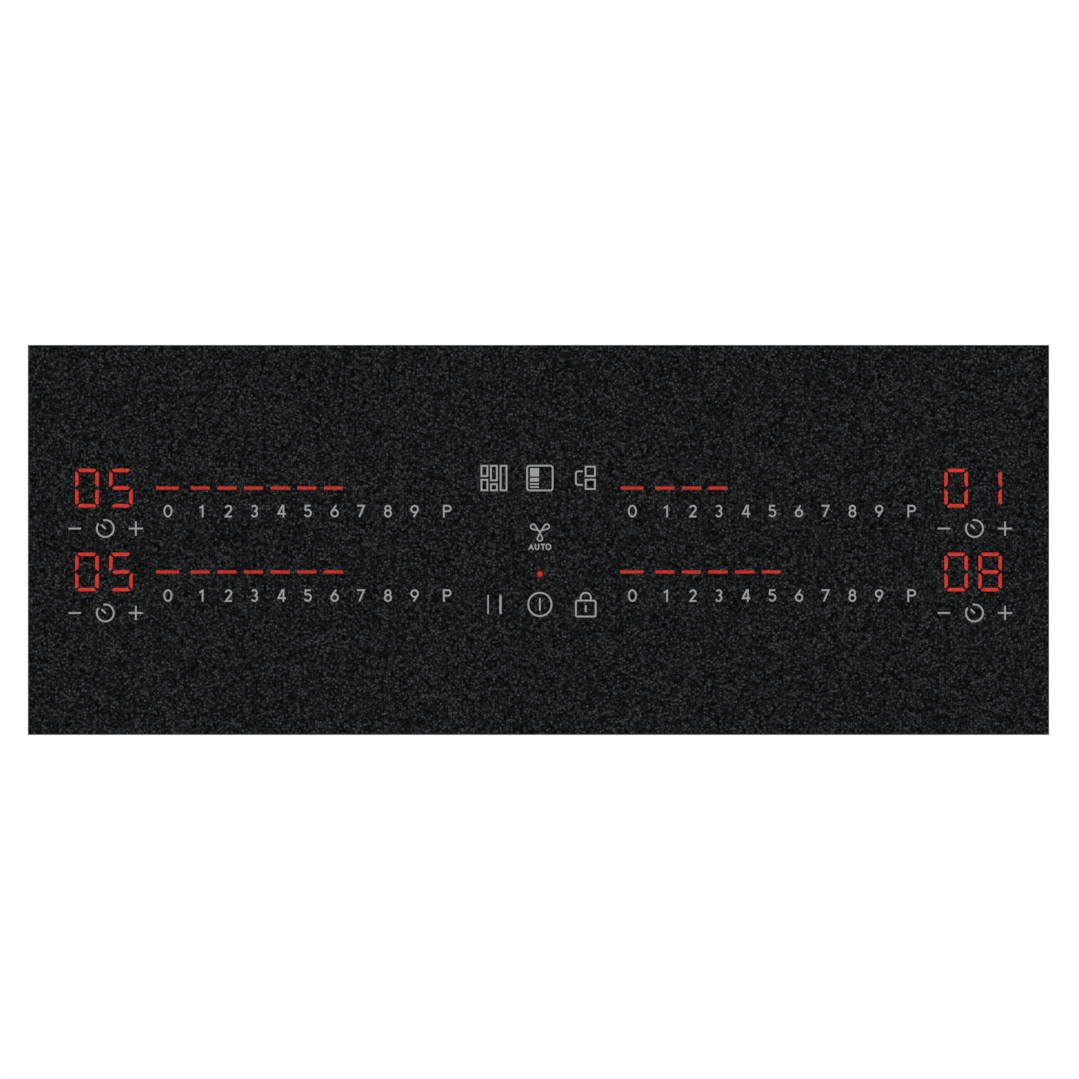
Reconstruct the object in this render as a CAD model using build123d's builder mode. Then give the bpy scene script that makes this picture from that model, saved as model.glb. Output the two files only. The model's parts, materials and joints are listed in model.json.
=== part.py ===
from build123d import *
import os
from math import radians, tan

# Built-in induction hob with four cooking zones and a slider control strip at its front.
# Frame: origin at the middle of the bottom of the tray, +Z up, the user stands at -Y, millimetres.

os.makedirs("parts", exist_ok=True)

# Glass and the worktop that it lies on
glass_width = 780.0
glass_depth = 520.0
glass_thick = 4.0
glass_corner = 6.0
glass_bevel = 0.8
glass_overlap = 15.0
seal_width = 12.0
seal_thick = 2.0
seal_inset = 2.0

# Tray and the frame glued under the glass
tray_gap = 5.0
tray_drop = 40.0
tray_sheet = 0.8
tray_corner = 8.0
tray_below_glass = 0.8
tray_edge_radius = 2.0
rib_width = 12.0
rib_height = 2.0
rib_length = 220.0
frame_fit = 0.3
frame_sheet = 1.2
frame_flange = 14.0
frame_leg = 9.0
adhesive_thick = 0.5
adhesive_width = 8.0
screw_radius = 1.5
screw_clearance = 0.05
screw_length = 5.0
screw_head_radius = 3.2
screw_head_height = 1.6

# Printed marks and lit marks
ink = 0.08
stroke = 0.6
numeral_height = 4.5
numeral_pitch = 9.59
numeral_first_step = 12.15
numeral_last_step = 11.8
slider_start_left = -133.4
slider_start_right = 33.8
strip_depth = 140.4
row_pitch = 30.2
print_row_pitch = 30.4
numeral_front = 50.2
bar_front = 58.7
bar_height = 1.12
bar_first_width = 8.2
bar_width = 6.85
bar_first_shift = -0.15
bar_shift = -0.5
digit_x = 156.45
digit_width = 8.45
digit_height = 13.9
digit_pitch = 12.24
digit_segment = 1.22
digit_gap = 0.5
digit_corner = 0.9
symbol_front = 43.93
symbol_spacing = 11.0
symbol_shift = 0.5
clock_radius = 3.05
icon_front = 47.0
icon_rear = 92.5
icon_x = (-16.05, 0.5, 17.0)
fan_from_front = 73.2
auto_from_front = 67.73
dot_from_front = 57.95
dot_radius = 1.0
zone_line = 0.9

# Coils, from the glass downwards
mica_thick = 0.6
winding_thick = 4.0
former_base = 1.0
ferrite_thick = 4.0
ferrite_width = 9.0
ferrite_fit = 0.2
carrier_sheet = 1.5
zone_margin = 14.0
flex_coil_width = 184.0
flex_coil_ring = 27.0
flex_count = 4
flex_gap = 4.5
front_coil_radius = 72.5
rear_coil_radius = flex_coil_width / 2 - 2.0
coil_eye_radius = 20.0
former_rim = 2.5
sensor_radius = 8.0
post_radius = 3.5
post_inset = 8.0

# Electronics
board_thick = 1.6
board_lift = 4.0
board_width = flex_coil_width - 24.0
board_depth = 250.0
board_y = 5.0
standoff_radius = 3.0
sink_length = board_width - 20.0
sink_depth = 36.0
sink_height = 19.5
sink_base = 4.0
sink_fin = 1.4
sink_fin_count = 8
transistor_width = 16.0
transistor_thick = 5.0
transistor_height = 20.0
filter_width = 150.0
filter_depth = 66.0
filter_y = 172.0

# Blowers
blower_x = 78.0
blower_y = 30.0
blower_radius = 48.0
blower_wall = 1.5
blower_height = 25.6
outlet_reach = 87.0
outlet_width = 28.0
intake_radius = 30.0
rotor_radius = 36.0
rotor_inner_radius = 28.0
rotor_hub_radius = 12.0
rotor_plate = 1.5
rotor_end_gap = 0.8
blade_count = 28
blade_thick = 1.0
shaft_radius = 1.5
shaft_clearance = 0.05
motor_radius = 11.0
motor_height = 1.6

# Controls under the strip
ui_width = 364.0
ui_depth = 70.0
ui_y_from_front = 73.0
ui_board_below_glass = 7.4
ui_carrier_drop = 4.5
ui_carrier_thick = 1.6
display_width = 26.0
display_depth = 18.0
display_height = 6.6
guide_depth = 4.0
guide_height = 6.8
spring_radius = 3.4
spring_wall = 0.8
spring_height = 7.2

# Spring clips on the sides of the tray
clip_y = 150.0
clip_width = 16.0
clip_sheet = 0.7
clip_pin_radius = 1.0
clip_pin_clearance = 0.05
clip_eye_wall = 0.85
clip_pin_out = 3.0
clip_pin_below_glass = 8.0
clip_bulge_out = 3.9
clip_bulge_down = 11.0
clip_tip_out = 0.9
clip_tip_down = 19.0
ear_thick = 1.0
ear_gap = 0.4
bracket_sheet = 0.9
bracket_height = 14.0

# Mains connection
terminal_from_side = 100.0
terminal_width = 100.0
terminal_depth = 56.0
terminal_height = 24.0
terminal_wall = 1.8
terminal_floor_gap = 2.0
terminal_side_gap = 0.4
inlet_panel = 28.0
inlet_radius = 5.0
grommet_wall = 2.0
grommet_flange = 2.0
cover_thick = 1.8
cover_gap = 0.4
hinge_pin_radius = 0.8
hinge_pin_clearance = 0.05
hinge_knuckle_radius = 1.7
terminal_count = 5
lead_radius = 1.2
wire_radius = 1.3

# Places that follow from the sizes above
glass_under = tray_drop
glass_top_z = tray_drop + glass_thick
cutout_width = glass_width - 2 * glass_overlap
cutout_depth = glass_depth - 2 * glass_overlap
tray_width = cutout_width - 2 * tray_gap
tray_depth = cutout_depth - 2 * tray_gap
tray_x = tray_width / 2
tray_y = tray_depth / 2
tray_top = glass_under - tray_below_glass
terminal_x = tray_x - terminal_from_side
floor_z = tray_sheet
frame_width = tray_width - 2 * (tray_sheet + frame_fit)
frame_depth = tray_depth - 2 * (tray_sheet + frame_fit)
frame_top = glass_under - adhesive_thick
frame_inner_x = frame_width / 2 - frame_flange
frame_inner_y = frame_depth / 2 - frame_flange
front_y = -glass_depth / 2
screw_z = frame_top - frame_leg + 3.5

zone_x = frame_inner_x - zone_margin - flex_coil_width / 2
cooking_front = front_y + strip_depth + 5.6
cooking_rear = frame_inner_y - 5.0
cooking_mid = (cooking_front + cooking_rear) / 2
cooking_depth = cooking_rear - cooking_front
flex_pitch = cooking_depth / flex_count
flex_coil_depth = flex_pitch - flex_gap
winding_top = glass_under - mica_thick
winding_z = winding_top - winding_thick
former_z = winding_z - former_base - ferrite_thick
carrier_z = former_z - carrier_sheet
carrier_width = flex_coil_width + 8.0
front_coil_y = cooking_front + front_coil_radius + 1.0
rear_coil_y = cooking_rear - rear_coil_radius - 1.0
flex_y = [cooking_front + flex_pitch * (i + 0.5) for i in range(flex_count)]

board_z = floor_z + board_lift
board_top = board_z + board_thick
sink_y = blower_y + blower_radius - outlet_width / 2

blower_z = floor_z + 0.2
blower_top = blower_z + blower_height
shaft_tip_z = blower_z + blower_wall + 2.0
rotor_top = blower_top - blower_wall - motor_height - rotor_end_gap
rotor_z = blower_z + blower_wall + 2.7

ui_y = front_y + ui_y_from_front
ui_board_top = glass_under - ui_board_below_glass
ui_board_z = ui_board_top - board_thick
ui_carrier_z = ui_board_z - ui_carrier_drop

RISING = (Align.CENTER, Align.CENTER, Align.MIN)
HANGING = (Align.CENTER, Align.CENTER, Align.MAX)
sides = {"left": -1, "right": 1}


def write(builder, name):
    """Label a finished piece and write it as its own node."""
    builder.part.label = name
    export_step(builder.part, f"parts/{name}.step")


def from_front(distance):
    """Y of a place measured back from the front edge of the glass."""
    return front_y + distance


# ---------------------------------------------------------------- glass, seal and frame

with BuildPart() as glass_top:
    with BuildSketch(Plane.XY.offset(glass_under)):
        RectangleRounded(glass_width, glass_depth, glass_corner)
    extrude(amount=glass_thick)
    chamfer(glass_top.faces().sort_by(Axis.Z)[-1].edges(), glass_bevel)
write(glass_top, "glass_top")

with BuildPart() as rim_seal:
    with BuildSketch(Plane.XY.offset(glass_under)):
        RectangleRounded(glass_width - 2 * seal_inset, glass_depth - 2 * seal_inset, glass_corner)
        Rectangle(
            glass_width - 2 * (seal_inset + seal_width),
            glass_depth - 2 * (seal_inset + seal_width),
            mode=Mode.SUBTRACT,
        )
    extrude(amount=-seal_thick)
write(rim_seal, "rim_seal")

side_screws_y = [share * tray_depth for share in (-0.42, 0.0, 0.42)]
end_screws_x = [share * tray_width for share in (-0.4, 0.0, 0.22)]
screw_places = []
for side in (-1, 1):
    screw_places += [Location((side * tray_x, y, screw_z), (0, 90 * side, 0)) for y in side_screws_y]
    screw_places += [Location((x, side * tray_y, screw_z), (-90 * side, 0, 0)) for x in end_screws_x]

with BuildPart() as glass_frame:
    with BuildSketch(Plane.XY.offset(frame_top)):
        RectangleRounded(frame_width, frame_depth, tray_corner - tray_sheet)
        Rectangle(2 * frame_inner_x, 2 * frame_inner_y, mode=Mode.SUBTRACT)
    extrude(amount=-frame_sheet)
    with BuildSketch(Plane.XY.offset(frame_top)):
        RectangleRounded(frame_width, frame_depth, tray_corner - tray_sheet)
        RectangleRounded(
            frame_width - 2 * frame_sheet,
            frame_depth - 2 * frame_sheet,
            tray_corner - tray_sheet - frame_sheet,
            mode=Mode.SUBTRACT,
        )
    extrude(amount=-frame_leg)
    with Locations(screw_places):
        Cylinder(screw_radius + screw_clearance, 2 * screw_length, mode=Mode.SUBTRACT)
write(glass_frame, "glass_frame")

with BuildPart() as frame_adhesive:
    with BuildSketch(Plane.XY.offset(frame_top)):
        RectangleRounded(frame_width - 4, frame_depth - 4, tray_corner - tray_sheet)
        Rectangle(
            frame_width - 4 - 2 * adhesive_width,
            frame_depth - 4 - 2 * adhesive_width,
            mode=Mode.SUBTRACT,
        )
    extrude(amount=adhesive_thick)
write(frame_adhesive, "frame_adhesive")

# ---------------------------------------------------------------- tray

vent_slot = 34.0
vent_width = 3.0
vent_z = tray_top * 0.36
intake_rows = [2.1 * vent_width * step for step in range(-4, 5)]
rib_y = (-tray_y + 66.0, board_y - 60.0, board_y + 95.0)
terminal_left = terminal_x - terminal_width / 2
terminal_right = terminal_x + terminal_width / 2
terminal_z = floor_z + terminal_floor_gap
inlet_x = terminal_right - inlet_panel / 2
inlet_z = terminal_z + terminal_height / 2

with BuildPart() as bottom_tray:
    with BuildSketch():
        RectangleRounded(tray_width, tray_depth, tray_corner)
    extrude(amount=tray_top)
    fillet(bottom_tray.faces().sort_by(Axis.Z)[0].edges(), tray_edge_radius)
    offset(amount=-tray_sheet, openings=bottom_tray.faces().sort_by(Axis.Z)[-1])
    for side in (-1, 1):
        with Locations([(side * zone_x, y, 0) for y in rib_y]):
            Box(rib_length, rib_width, rib_height + tray_sheet, align=RISING)
            Box(
                rib_length - 2 * tray_sheet,
                rib_width - 2 * tray_sheet,
                rib_height,
                align=RISING,
                mode=Mode.SUBTRACT,
            )
    with Locations(screw_places):
        Cylinder(screw_radius + screw_clearance, 2 * screw_length, mode=Mode.SUBTRACT)
    # Air comes in through the floor under each blower
    with BuildSketch():
        for rise in intake_rows:
            with Locations((-blower_x, blower_y + rise), (blower_x, blower_y + rise)):
                SlotOverall(2 * (intake_radius**2 - rise**2) ** 0.5, vent_width)
    extrude(amount=tray_sheet, mode=Mode.SUBTRACT)
    # and leaves through the front wall and the side walls
    with BuildSketch(Plane.XZ.offset(tray_y)):
        with Locations((0, vent_z)):
            with GridLocations(vent_slot * 1.35, 3 * vent_width, 12, 2):
                SlotOverall(vent_slot, vent_width)
    extrude(amount=-2 * tray_sheet, mode=Mode.SUBTRACT)
    for side in (-1, 1):
        with BuildSketch(Plane.YZ.offset(side * tray_x)):
            with Locations((0, vent_z)):
                with GridLocations(vent_slot * 1.35, 3 * vent_width, 4, 2):
                    SlotOverall(vent_slot, vent_width)
        extrude(amount=-2 * side * tray_sheet, mode=Mode.SUBTRACT)
    # The terminal box fills a window in the rear wall
    with Locations((terminal_x, tray_y, terminal_z - terminal_side_gap)):
        Box(
            terminal_width + 2 * terminal_side_gap,
            4 * tray_sheet,
            terminal_height + 2 * terminal_side_gap,
            align=RISING,
            mode=Mode.SUBTRACT,
        )
write(bottom_tray, "bottom_tray")

with BuildPart() as tray_screws:
    with Locations(screw_places):
        Cylinder(screw_head_radius, screw_head_height, align=RISING)
        Cylinder(screw_radius, screw_length, align=HANGING)
write(tray_screws, "tray_screws")

plate_width = 70.0
plate_height = 22.0
plate_thick = 0.4
with BuildPart() as rating_plate:
    with BuildSketch(Plane.XZ.offset(-tray_y)):
        with Locations((-zone_x, tray_top * 0.42)):
            RectangleRounded(plate_width, plate_height, 1.5)
    extrude(amount=-plate_thick)
write(rating_plate, "rating_plate")

# ---------------------------------------------------------------- printed marks

cap = (numeral_height - stroke) / 2
lean = {"6": 1.0, "9": -0.6}


def ring_mark(x, y, radius):
    with Locations((x, y)):
        Circle(radius + stroke / 2)
        Circle(radius - stroke / 2, mode=Mode.SUBTRACT)


def stroke_path(*points, width=stroke):
    with BuildLine() as path:
        Polyline(*points)
    trace(path.line, line_width=width)


def stroke_arc(x, y, radius, start, sweep_angle, width=stroke):
    with BuildLine() as path:
        CenterArc((x, y), radius, start, sweep_angle)
    trace(path.line, line_width=width)


def numeral(character):
    """One digit or the letter P, drawn with a pen of the stroke's width about its own centre."""
    with BuildSketch() as glyph:
        if character == "0":
            Ellipse(1.3 + stroke / 2, cap + stroke / 2)
            Ellipse(1.3 - stroke / 2, cap - stroke / 2, mode=Mode.SUBTRACT)
        elif character == "1":
            stroke_path((-0.8, 1.1), (0.35, cap - 0.15), (0.35, -cap - stroke / 2))
        elif character == "2":
            stroke_arc(0.05, 0.9, 1.03, -38, 205)
            stroke_path((0.86, 0.27), (-0.9, -cap), (1.3, -cap))
        elif character == "3":
            stroke_arc(-0.25, 1.0, 0.95, -90, 235)
            stroke_arc(-0.25, -0.93, 1.02, -155, 245)
        elif character == "4":
            stroke_path((0.4, cap + stroke / 2), (-1.2, -0.95), (1.5, -0.95))
            stroke_path((0.65, -cap - stroke / 2), (0.65, cap + stroke / 2))
        elif character == "5":
            stroke_path((0.85, cap), (-0.95, cap), (-1.1, 0.25))
            stroke_arc(-0.2, -0.7, 1.17, -152, 285)
        elif character in ("6", "9"):
            ring_mark(-0.1 * lean[character], -0.72, 1.2)
            stroke_path((-1.06 - 0.1 * lean[character], -0.15), (0.45, cap + stroke / 4))
        elif character == "7":
            stroke_path((-1.6, cap), (0.95, cap), (-0.8, -cap - stroke / 4))
        elif character == "8":
            ring_mark(-0.08, 1.02, 0.93)
            ring_mark(-0.08, -0.85, 1.1)
        else:
            stroke_path((-1.35, -cap - stroke / 2), (-1.35, cap), (0.1, cap))
            stroke_arc(0.1, 0.95, 1.0, -90, 180)
            stroke_path((-1.35, -0.05), (0.1, -0.05))
        if character == "9":
            return glyph.sketch.rotate(Axis.Z, 180)
    return glyph.sketch


def slider_places(start):
    """X of 0, 1 to 9 and P along one slider."""
    ones = [start + numeral_first_step + i * numeral_pitch for i in range(9)]
    return [start] + ones + [ones[-1] + numeral_last_step]


glyphs = [numeral(character) for character in "0123456789P"]
row_y = [from_front(bar_front), from_front(bar_front + row_pitch)]
numeral_y = [from_front(numeral_front), from_front(numeral_front + print_row_pitch)]
symbol_y = [from_front(symbol_front), from_front(symbol_front + print_row_pitch)]

with BuildPart() as slider_numerals:
    for start in (slider_start_left, slider_start_right):
        for y in numeral_y:
            with BuildSketch(Plane.XY.offset(glass_top_z)):
                for x, glyph in zip(slider_places(start), glyphs):
                    add(glyph.moved(Location((x, y))))
            extrude(amount=ink)
write(slider_numerals, "slider_numerals")

with BuildPart() as timer_symbols:
    for side in (-1, 1):
        for y in symbol_y:
            x = side * digit_x + symbol_shift
            with BuildSketch(Plane.XY.offset(glass_top_z)):
                with Locations((x - symbol_spacing, y)):
                    Rectangle(4.5, stroke)
                with Locations((x + symbol_spacing, y)):
                    Rectangle(5.1, stroke)
                    Rectangle(stroke, 5.1)
                stroke_arc(x, y, clock_radius, 103, -320)
                stroke_path((x + 0.1, y - 0.1), (x - 1.4, y + 1.4))
            extrude(amount=ink)
write(timer_symbols, "timer_symbols")


def box_mark(x, y, width, height):
    """An outline box, by its outside size."""
    with Locations((x, y)):
        Rectangle(width, height)
        Rectangle(width - 2 * stroke, height - 2 * stroke, mode=Mode.SUBTRACT)


def fan_blade(reach):
    """One loop of the fan mark: a ring out along +Y, drawn in to a point at the hub."""
    inner_tip = fan_stroke * reach / fan_end_radius
    outlines = [(fan_end_radius, 0.0, Mode.ADD), (fan_end_radius - fan_stroke, inner_tip, Mode.SUBTRACT)]
    with BuildSketch() as blade:
        for radius, tip, mode in outlines:
            slope = radius / (reach - tip)
            touch_x = radius * (1 - slope**2) ** 0.5
            touch_y = reach - radius * slope
            with Locations((0, reach)):
                Circle(radius, mode=mode)
            with BuildLine():
                Polyline((-touch_x, touch_y), (0, tip), (touch_x, touch_y), close=True)
            make_face(mode=mode)
    return blade.sketch


# Sizes inside one mark are measured from that mark's own middle
fan_end_radius = 1.15
fan_stroke = 0.5
fan_loops = [(53.6, 3.1), (-53.6, 3.1), (180.0, 2.45)]
letter_stroke = 0.45
with BuildPart() as function_symbols:
    with BuildSketch(Plane.XY.offset(glass_top_z)):
        # Several zones set at once
        x, y = icon_x[0], from_front(icon_rear)
        box_mark(x - 3.43, y + 2.57, 2.75, 4.3)
        box_mark(x - 3.43, y - 2.52, 2.75, 4.35)
        box_mark(x, y + 1.8, 2.75, 5.85)
        box_mark(x, y - 3.33, 2.75, 2.8)
        box_mark(x + 3.48, y, 2.7, 9.45)
        # One zone joined from several
        x = icon_x[1]
        with Locations((x, y)):
            RectangleRounded(9.8, 9.5, 1.2)
            RectangleRounded(9.8 - 2 * stroke, 9.5 - 2 * stroke, 1.2 - stroke, mode=Mode.SUBTRACT)
        for block_y, block in ((2.07, 3.0), (-0.6, 1.3), (-2.14, 0.6), (-3.27, 0.55)):
            with Locations((x - 1.94, y + block_y)):
                Rectangle(3.2, block)
        # Two zones bridged
        x = icon_x[2]
        box_mark(x + 1.66, y + 2.43, 3.95, 3.95)
        box_mark(x + 1.66, y - 2.25, 3.95, 3.95)
        with BuildLine() as bracket:
            FilletPolyline(
                (x - 1.05, y + 2.43),
                (x - 3.55, y + 2.43),
                (x - 3.55, y - 2.43),
                (x - 1.05, y - 2.43),
                radius=0.8,
            )
        trace(bracket.line, line_width=stroke)
        # Hood fan
        for turn, reach in fan_loops:
            add(fan_blade(reach).moved(Location((icon_x[1], from_front(fan_from_front), 0), (0, 0, turn))))
        with Locations((icon_x[1], from_front(fan_from_front))):
            Circle(fan_stroke)
        # Pause
        y = from_front(icon_front)
        for x, width in ((icon_x[0] - 2.1, 0.5), (icon_x[0] + 2.35, 0.75)):
            with Locations((x, y)):
                Rectangle(width, 6.85)
        # On and off
        with Locations((icon_x[1], y)):
            Circle(4.5)
            Circle(4.5 - stroke, mode=Mode.SUBTRACT)
            Rectangle(stroke, 4.5)
        # Lock
        x = icon_x[2]
        with Locations((x, y - 1.48)):
            RectangleRounded(7.7, 6.35, 0.9)
            RectangleRounded(7.7 - 2 * stroke, 6.35 - 2 * stroke, 0.3, mode=Mode.SUBTRACT)
            Rectangle(stroke, 2.4)
        stroke_path((x - 1.85, y + 1.5), (x - 1.85, y + 2.4))
        stroke_path((x + 1.85, y + 1.5), (x + 1.85, y + 2.4))
        stroke_arc(x, y + 2.36, 1.85, 0, 180)
    extrude(amount=ink)
    # The word AUTO under the fan
    with BuildSketch(Plane.XY.offset(glass_top_z)):
        x, y = icon_x[1], from_front(auto_from_front)
        stroke_path((x - 4.0, y - 1.1), (x - 3.15, y + 0.62), (x - 2.3, y - 1.1), width=letter_stroke)
        with Locations((x - 3.15, y - 0.45)):
            Rectangle(1.1, 0.8 * letter_stroke)
        stroke_path((x - 1.62, y + 1.12), (x - 1.62, y - 0.35), width=letter_stroke)
        stroke_path((x - 0.4, y + 1.12), (x - 0.4, y - 0.35), width=letter_stroke)
        stroke_arc(x - 1.01, y - 0.32, 0.61, 180, 180, width=letter_stroke)
        stroke_path((x + 0.3, y + 0.9), (x + 1.9, y + 0.9), width=letter_stroke)
        stroke_path((x + 1.1, y + 0.95), (x + 1.1, y - 1.12), width=letter_stroke)
        with Locations((x + 3.05, y)):
            Ellipse(1.05, 1.17)
            Ellipse(1.05 - letter_stroke, 1.17 - letter_stroke, mode=Mode.SUBTRACT)
    extrude(amount=ink)
write(function_symbols, "function_symbols")

with BuildPart() as zone_print:
    with BuildSketch(Plane.XY.offset(glass_top_z)):
        # Corner marks and segment marks of the flexible zone
        corner_arm = 16.0
        flex_half_x = flex_coil_width / 2 + 3.0
        flex_half_y = cooking_depth / 2 - 1.0
        for sx in (-1, 1):
            for sy in (-1, 1):
                corner_x = -zone_x + sx * flex_half_x
                corner_y = cooking_mid + sy * flex_half_y
                with Locations((corner_x - sx * corner_arm / 2, corner_y)):
                    Rectangle(corner_arm, zone_line)
                with Locations((corner_x, corner_y - sy * corner_arm / 2)):
                    Rectangle(zone_line, corner_arm)
        with Locations((-zone_x, cooking_mid)):
            with GridLocations(2 * flex_half_x, flex_pitch, 2, 3):
                Rectangle(corner_arm / 2, zone_line)
        # Crosses in the middle of each place for a pan
        centres = [(-zone_x, (flex_y[0] + flex_y[1]) / 2), (-zone_x, (flex_y[2] + flex_y[3]) / 2)]
        centres += [(zone_x, front_coil_y), (zone_x, rear_coil_y)]
        with Locations(*centres):
            Rectangle(9.0, zone_line)
            Rectangle(zone_line, 9.0)
        # Broken rings round the two round zones
        for centre_y, radius in ((front_coil_y, front_coil_radius), (rear_coil_y, rear_coil_radius)):
            for start in (20, 110, 200, 290):
                with BuildLine():
                    CenterArc((zone_x, centre_y), radius, start, 50)
                trace(line_width=zone_line)
    extrude(amount=ink)
write(zone_print, "zone_print")

# ---------------------------------------------------------------- lit marks


def segment(name):
    """Corners of one bar of a seven-segment digit about the digit's centre."""
    w, h, t, g, c = digit_width / 2, digit_height / 2, digit_segment, digit_gap, digit_corner
    top = [(-w + g + c, h), (w - g - c, h), (w - g - c / 2, h - c / 2), (w - t - g, h - t)]
    top += [(-w + t + g, h - t), (-w + g + c / 2, h - c / 2)]
    upper = [(w - c / 2, h - g - c / 2), (w, h - g - c), (w, g), (w - t / 3, g)]
    upper += [(w - t, t + g / 2), (w - t, h - t - g)]
    middle = [(-w + t / 2 + g, 0), (-w + t + g, t / 2), (w - t - g, t / 2)]
    middle += [(-x, -y) for x, y in middle]
    shapes = {
        "top": top,
        "bottom": [(x, -y) for x, y in top],
        "right_upper": upper,
        "right_lower": [(x, -y) for x, y in upper],
        "left_upper": [(-x, y) for x, y in upper],
        "left_lower": [(-x, -y) for x, y in upper],
        "middle": middle,
    }
    return shapes[name]


lit_segments = {
    "0": ("top", "bottom", "right_upper", "right_lower", "left_upper", "left_lower"),
    "1": ("right_upper", "right_lower"),
    "5": ("top", "left_upper", "middle", "right_lower", "bottom"),
    "8": ("top", "bottom", "middle", "right_upper", "right_lower", "left_upper", "left_lower"),
}
timers = [(-1, 0, "05"), (-1, 1, "05"), (1, 0, "08"), (1, 1, "01")]
with BuildPart() as timer_digits_lit:
    with BuildSketch(Plane.XY.offset(glass_top_z)):
        for side, row, text in timers:
            for place, digit in zip((-0.5, 0.5), text):
                x = side * digit_x + place * digit_pitch
                for name in lit_segments[digit]:
                    with BuildLine():
                        Polyline([(x + sx, row_y[row] + sy) for sx, sy in segment(name)], close=True)
                    make_face()
    extrude(amount=ink)
write(timer_digits_lit, "timer_digits_lit")

sliders = [(slider_start_left, 0, 7), (slider_start_left, 1, 7)]
sliders += [(slider_start_right, 0, 6), (slider_start_right, 1, 4)]
with BuildPart() as indicators_lit:
    with BuildSketch(Plane.XY.offset(glass_top_z)):
        for start, row, lit in sliders:
            first, *others = slider_places(start)[:lit]
            with Locations((first + bar_first_shift, row_y[row])):
                Rectangle(bar_first_width, bar_height)
            with Locations([(x + bar_shift, row_y[row]) for x in others]):
                Rectangle(bar_width, bar_height)
        with Locations((icon_x[1], from_front(dot_from_front))):
            Circle(dot_radius)
    extrude(amount=ink)
write(indicators_lit, "indicators_lit")

# ---------------------------------------------------------------- spring clips

pin_x = tray_x + clip_pin_out
pin_z = glass_under - clip_pin_below_glass
eye_bore = clip_pin_radius + clip_pin_clearance
eye_radius = eye_bore + clip_eye_wall
ear_y = clip_width / 2 + ear_gap + ear_thick / 2
bracket_width = clip_width + 2 * (ear_gap + ear_thick) + 6.0
clip_places = {
    "left_front": (-1, -clip_y),
    "left_rear": (-1, clip_y),
    "right_front": (1, -clip_y),
    "right_rear": (1, clip_y),
}


def clip_plane(side, y):
    """Plane across a clip: its x points out of the tray, its y up, from the pin."""
    return Plane(origin=(side * pin_x, y, pin_z), x_dir=(side, 0, 0), z_dir=(0, -side, 0))


with BuildPart() as clip_brackets:
    for side, y in clip_places.values():
        with Locations((side * (tray_x + bracket_sheet / 2), y, pin_z - 2.0)):
            Box(bracket_sheet, bracket_width, bracket_height)
        for ear in (-1, 1):
            with BuildSketch(clip_plane(side, y + ear * ear_y)):
                Circle(eye_radius)
                with Locations((-clip_pin_out / 2 + bracket_sheet / 4, 0)):
                    Rectangle(clip_pin_out - bracket_sheet / 2, 2 * eye_radius)
            extrude(amount=ear_thick / 2, both=True)
        with Locations(Location((side * pin_x, y, pin_z), (90, 0, 0))):
            Cylinder(clip_pin_radius, 2 * ear_y + ear_thick)
write(clip_brackets, "clip_brackets")

for name, (side, y) in clip_places.items():
    with BuildPart() as clip_leaf:
        with BuildSketch(clip_plane(side, y)):
            with BuildLine() as leaf_line:
                FilletPolyline(
                    (0, -eye_radius + clip_sheet / 2),
                    (clip_bulge_out, -clip_bulge_down),
                    (clip_tip_out, -clip_tip_down),
                    radius=3.0,
                )
            trace(leaf_line.line, line_width=clip_sheet)
            Circle(eye_radius)
            Circle(eye_bore, mode=Mode.SUBTRACT)
        extrude(amount=clip_width / 2, both=True)
    write(clip_leaf, f"clip_leaf_{name}")

# ---------------------------------------------------------------- mains connection

opening_left = terminal_left + terminal_wall
opening_width = terminal_width - inlet_panel - terminal_wall
opening_top = terminal_z + terminal_height - terminal_wall
opening_height = terminal_height - 2 * terminal_wall
opening_x = opening_left + opening_width / 2
cover_wide = opening_width - 2 * cover_gap
cover_high = opening_height - 2 * cover_gap
hinge_y = tray_y + hinge_knuckle_radius + 0.3
hinge_z = opening_top
knuckle_x = [opening_x - 0.36 * opening_width, opening_x + 0.36 * opening_width]
knuckle_length = 8.0
hinge_ear = 2.0
hinge_gap = 0.3
box_y = tray_y - terminal_depth / 2
block_width = 58.0
block_depth = 18.0
block_height = 13.0
block_y = tray_y - terminal_depth + terminal_wall + 9.0 + block_depth / 2
clamp_x = [opening_x + (i - (terminal_count - 1) / 2) * 11.0 for i in range(terminal_count)]
clamp_z = terminal_z + terminal_wall + block_height * 0.45
wire_exit = clamp_x[1:4]

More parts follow.
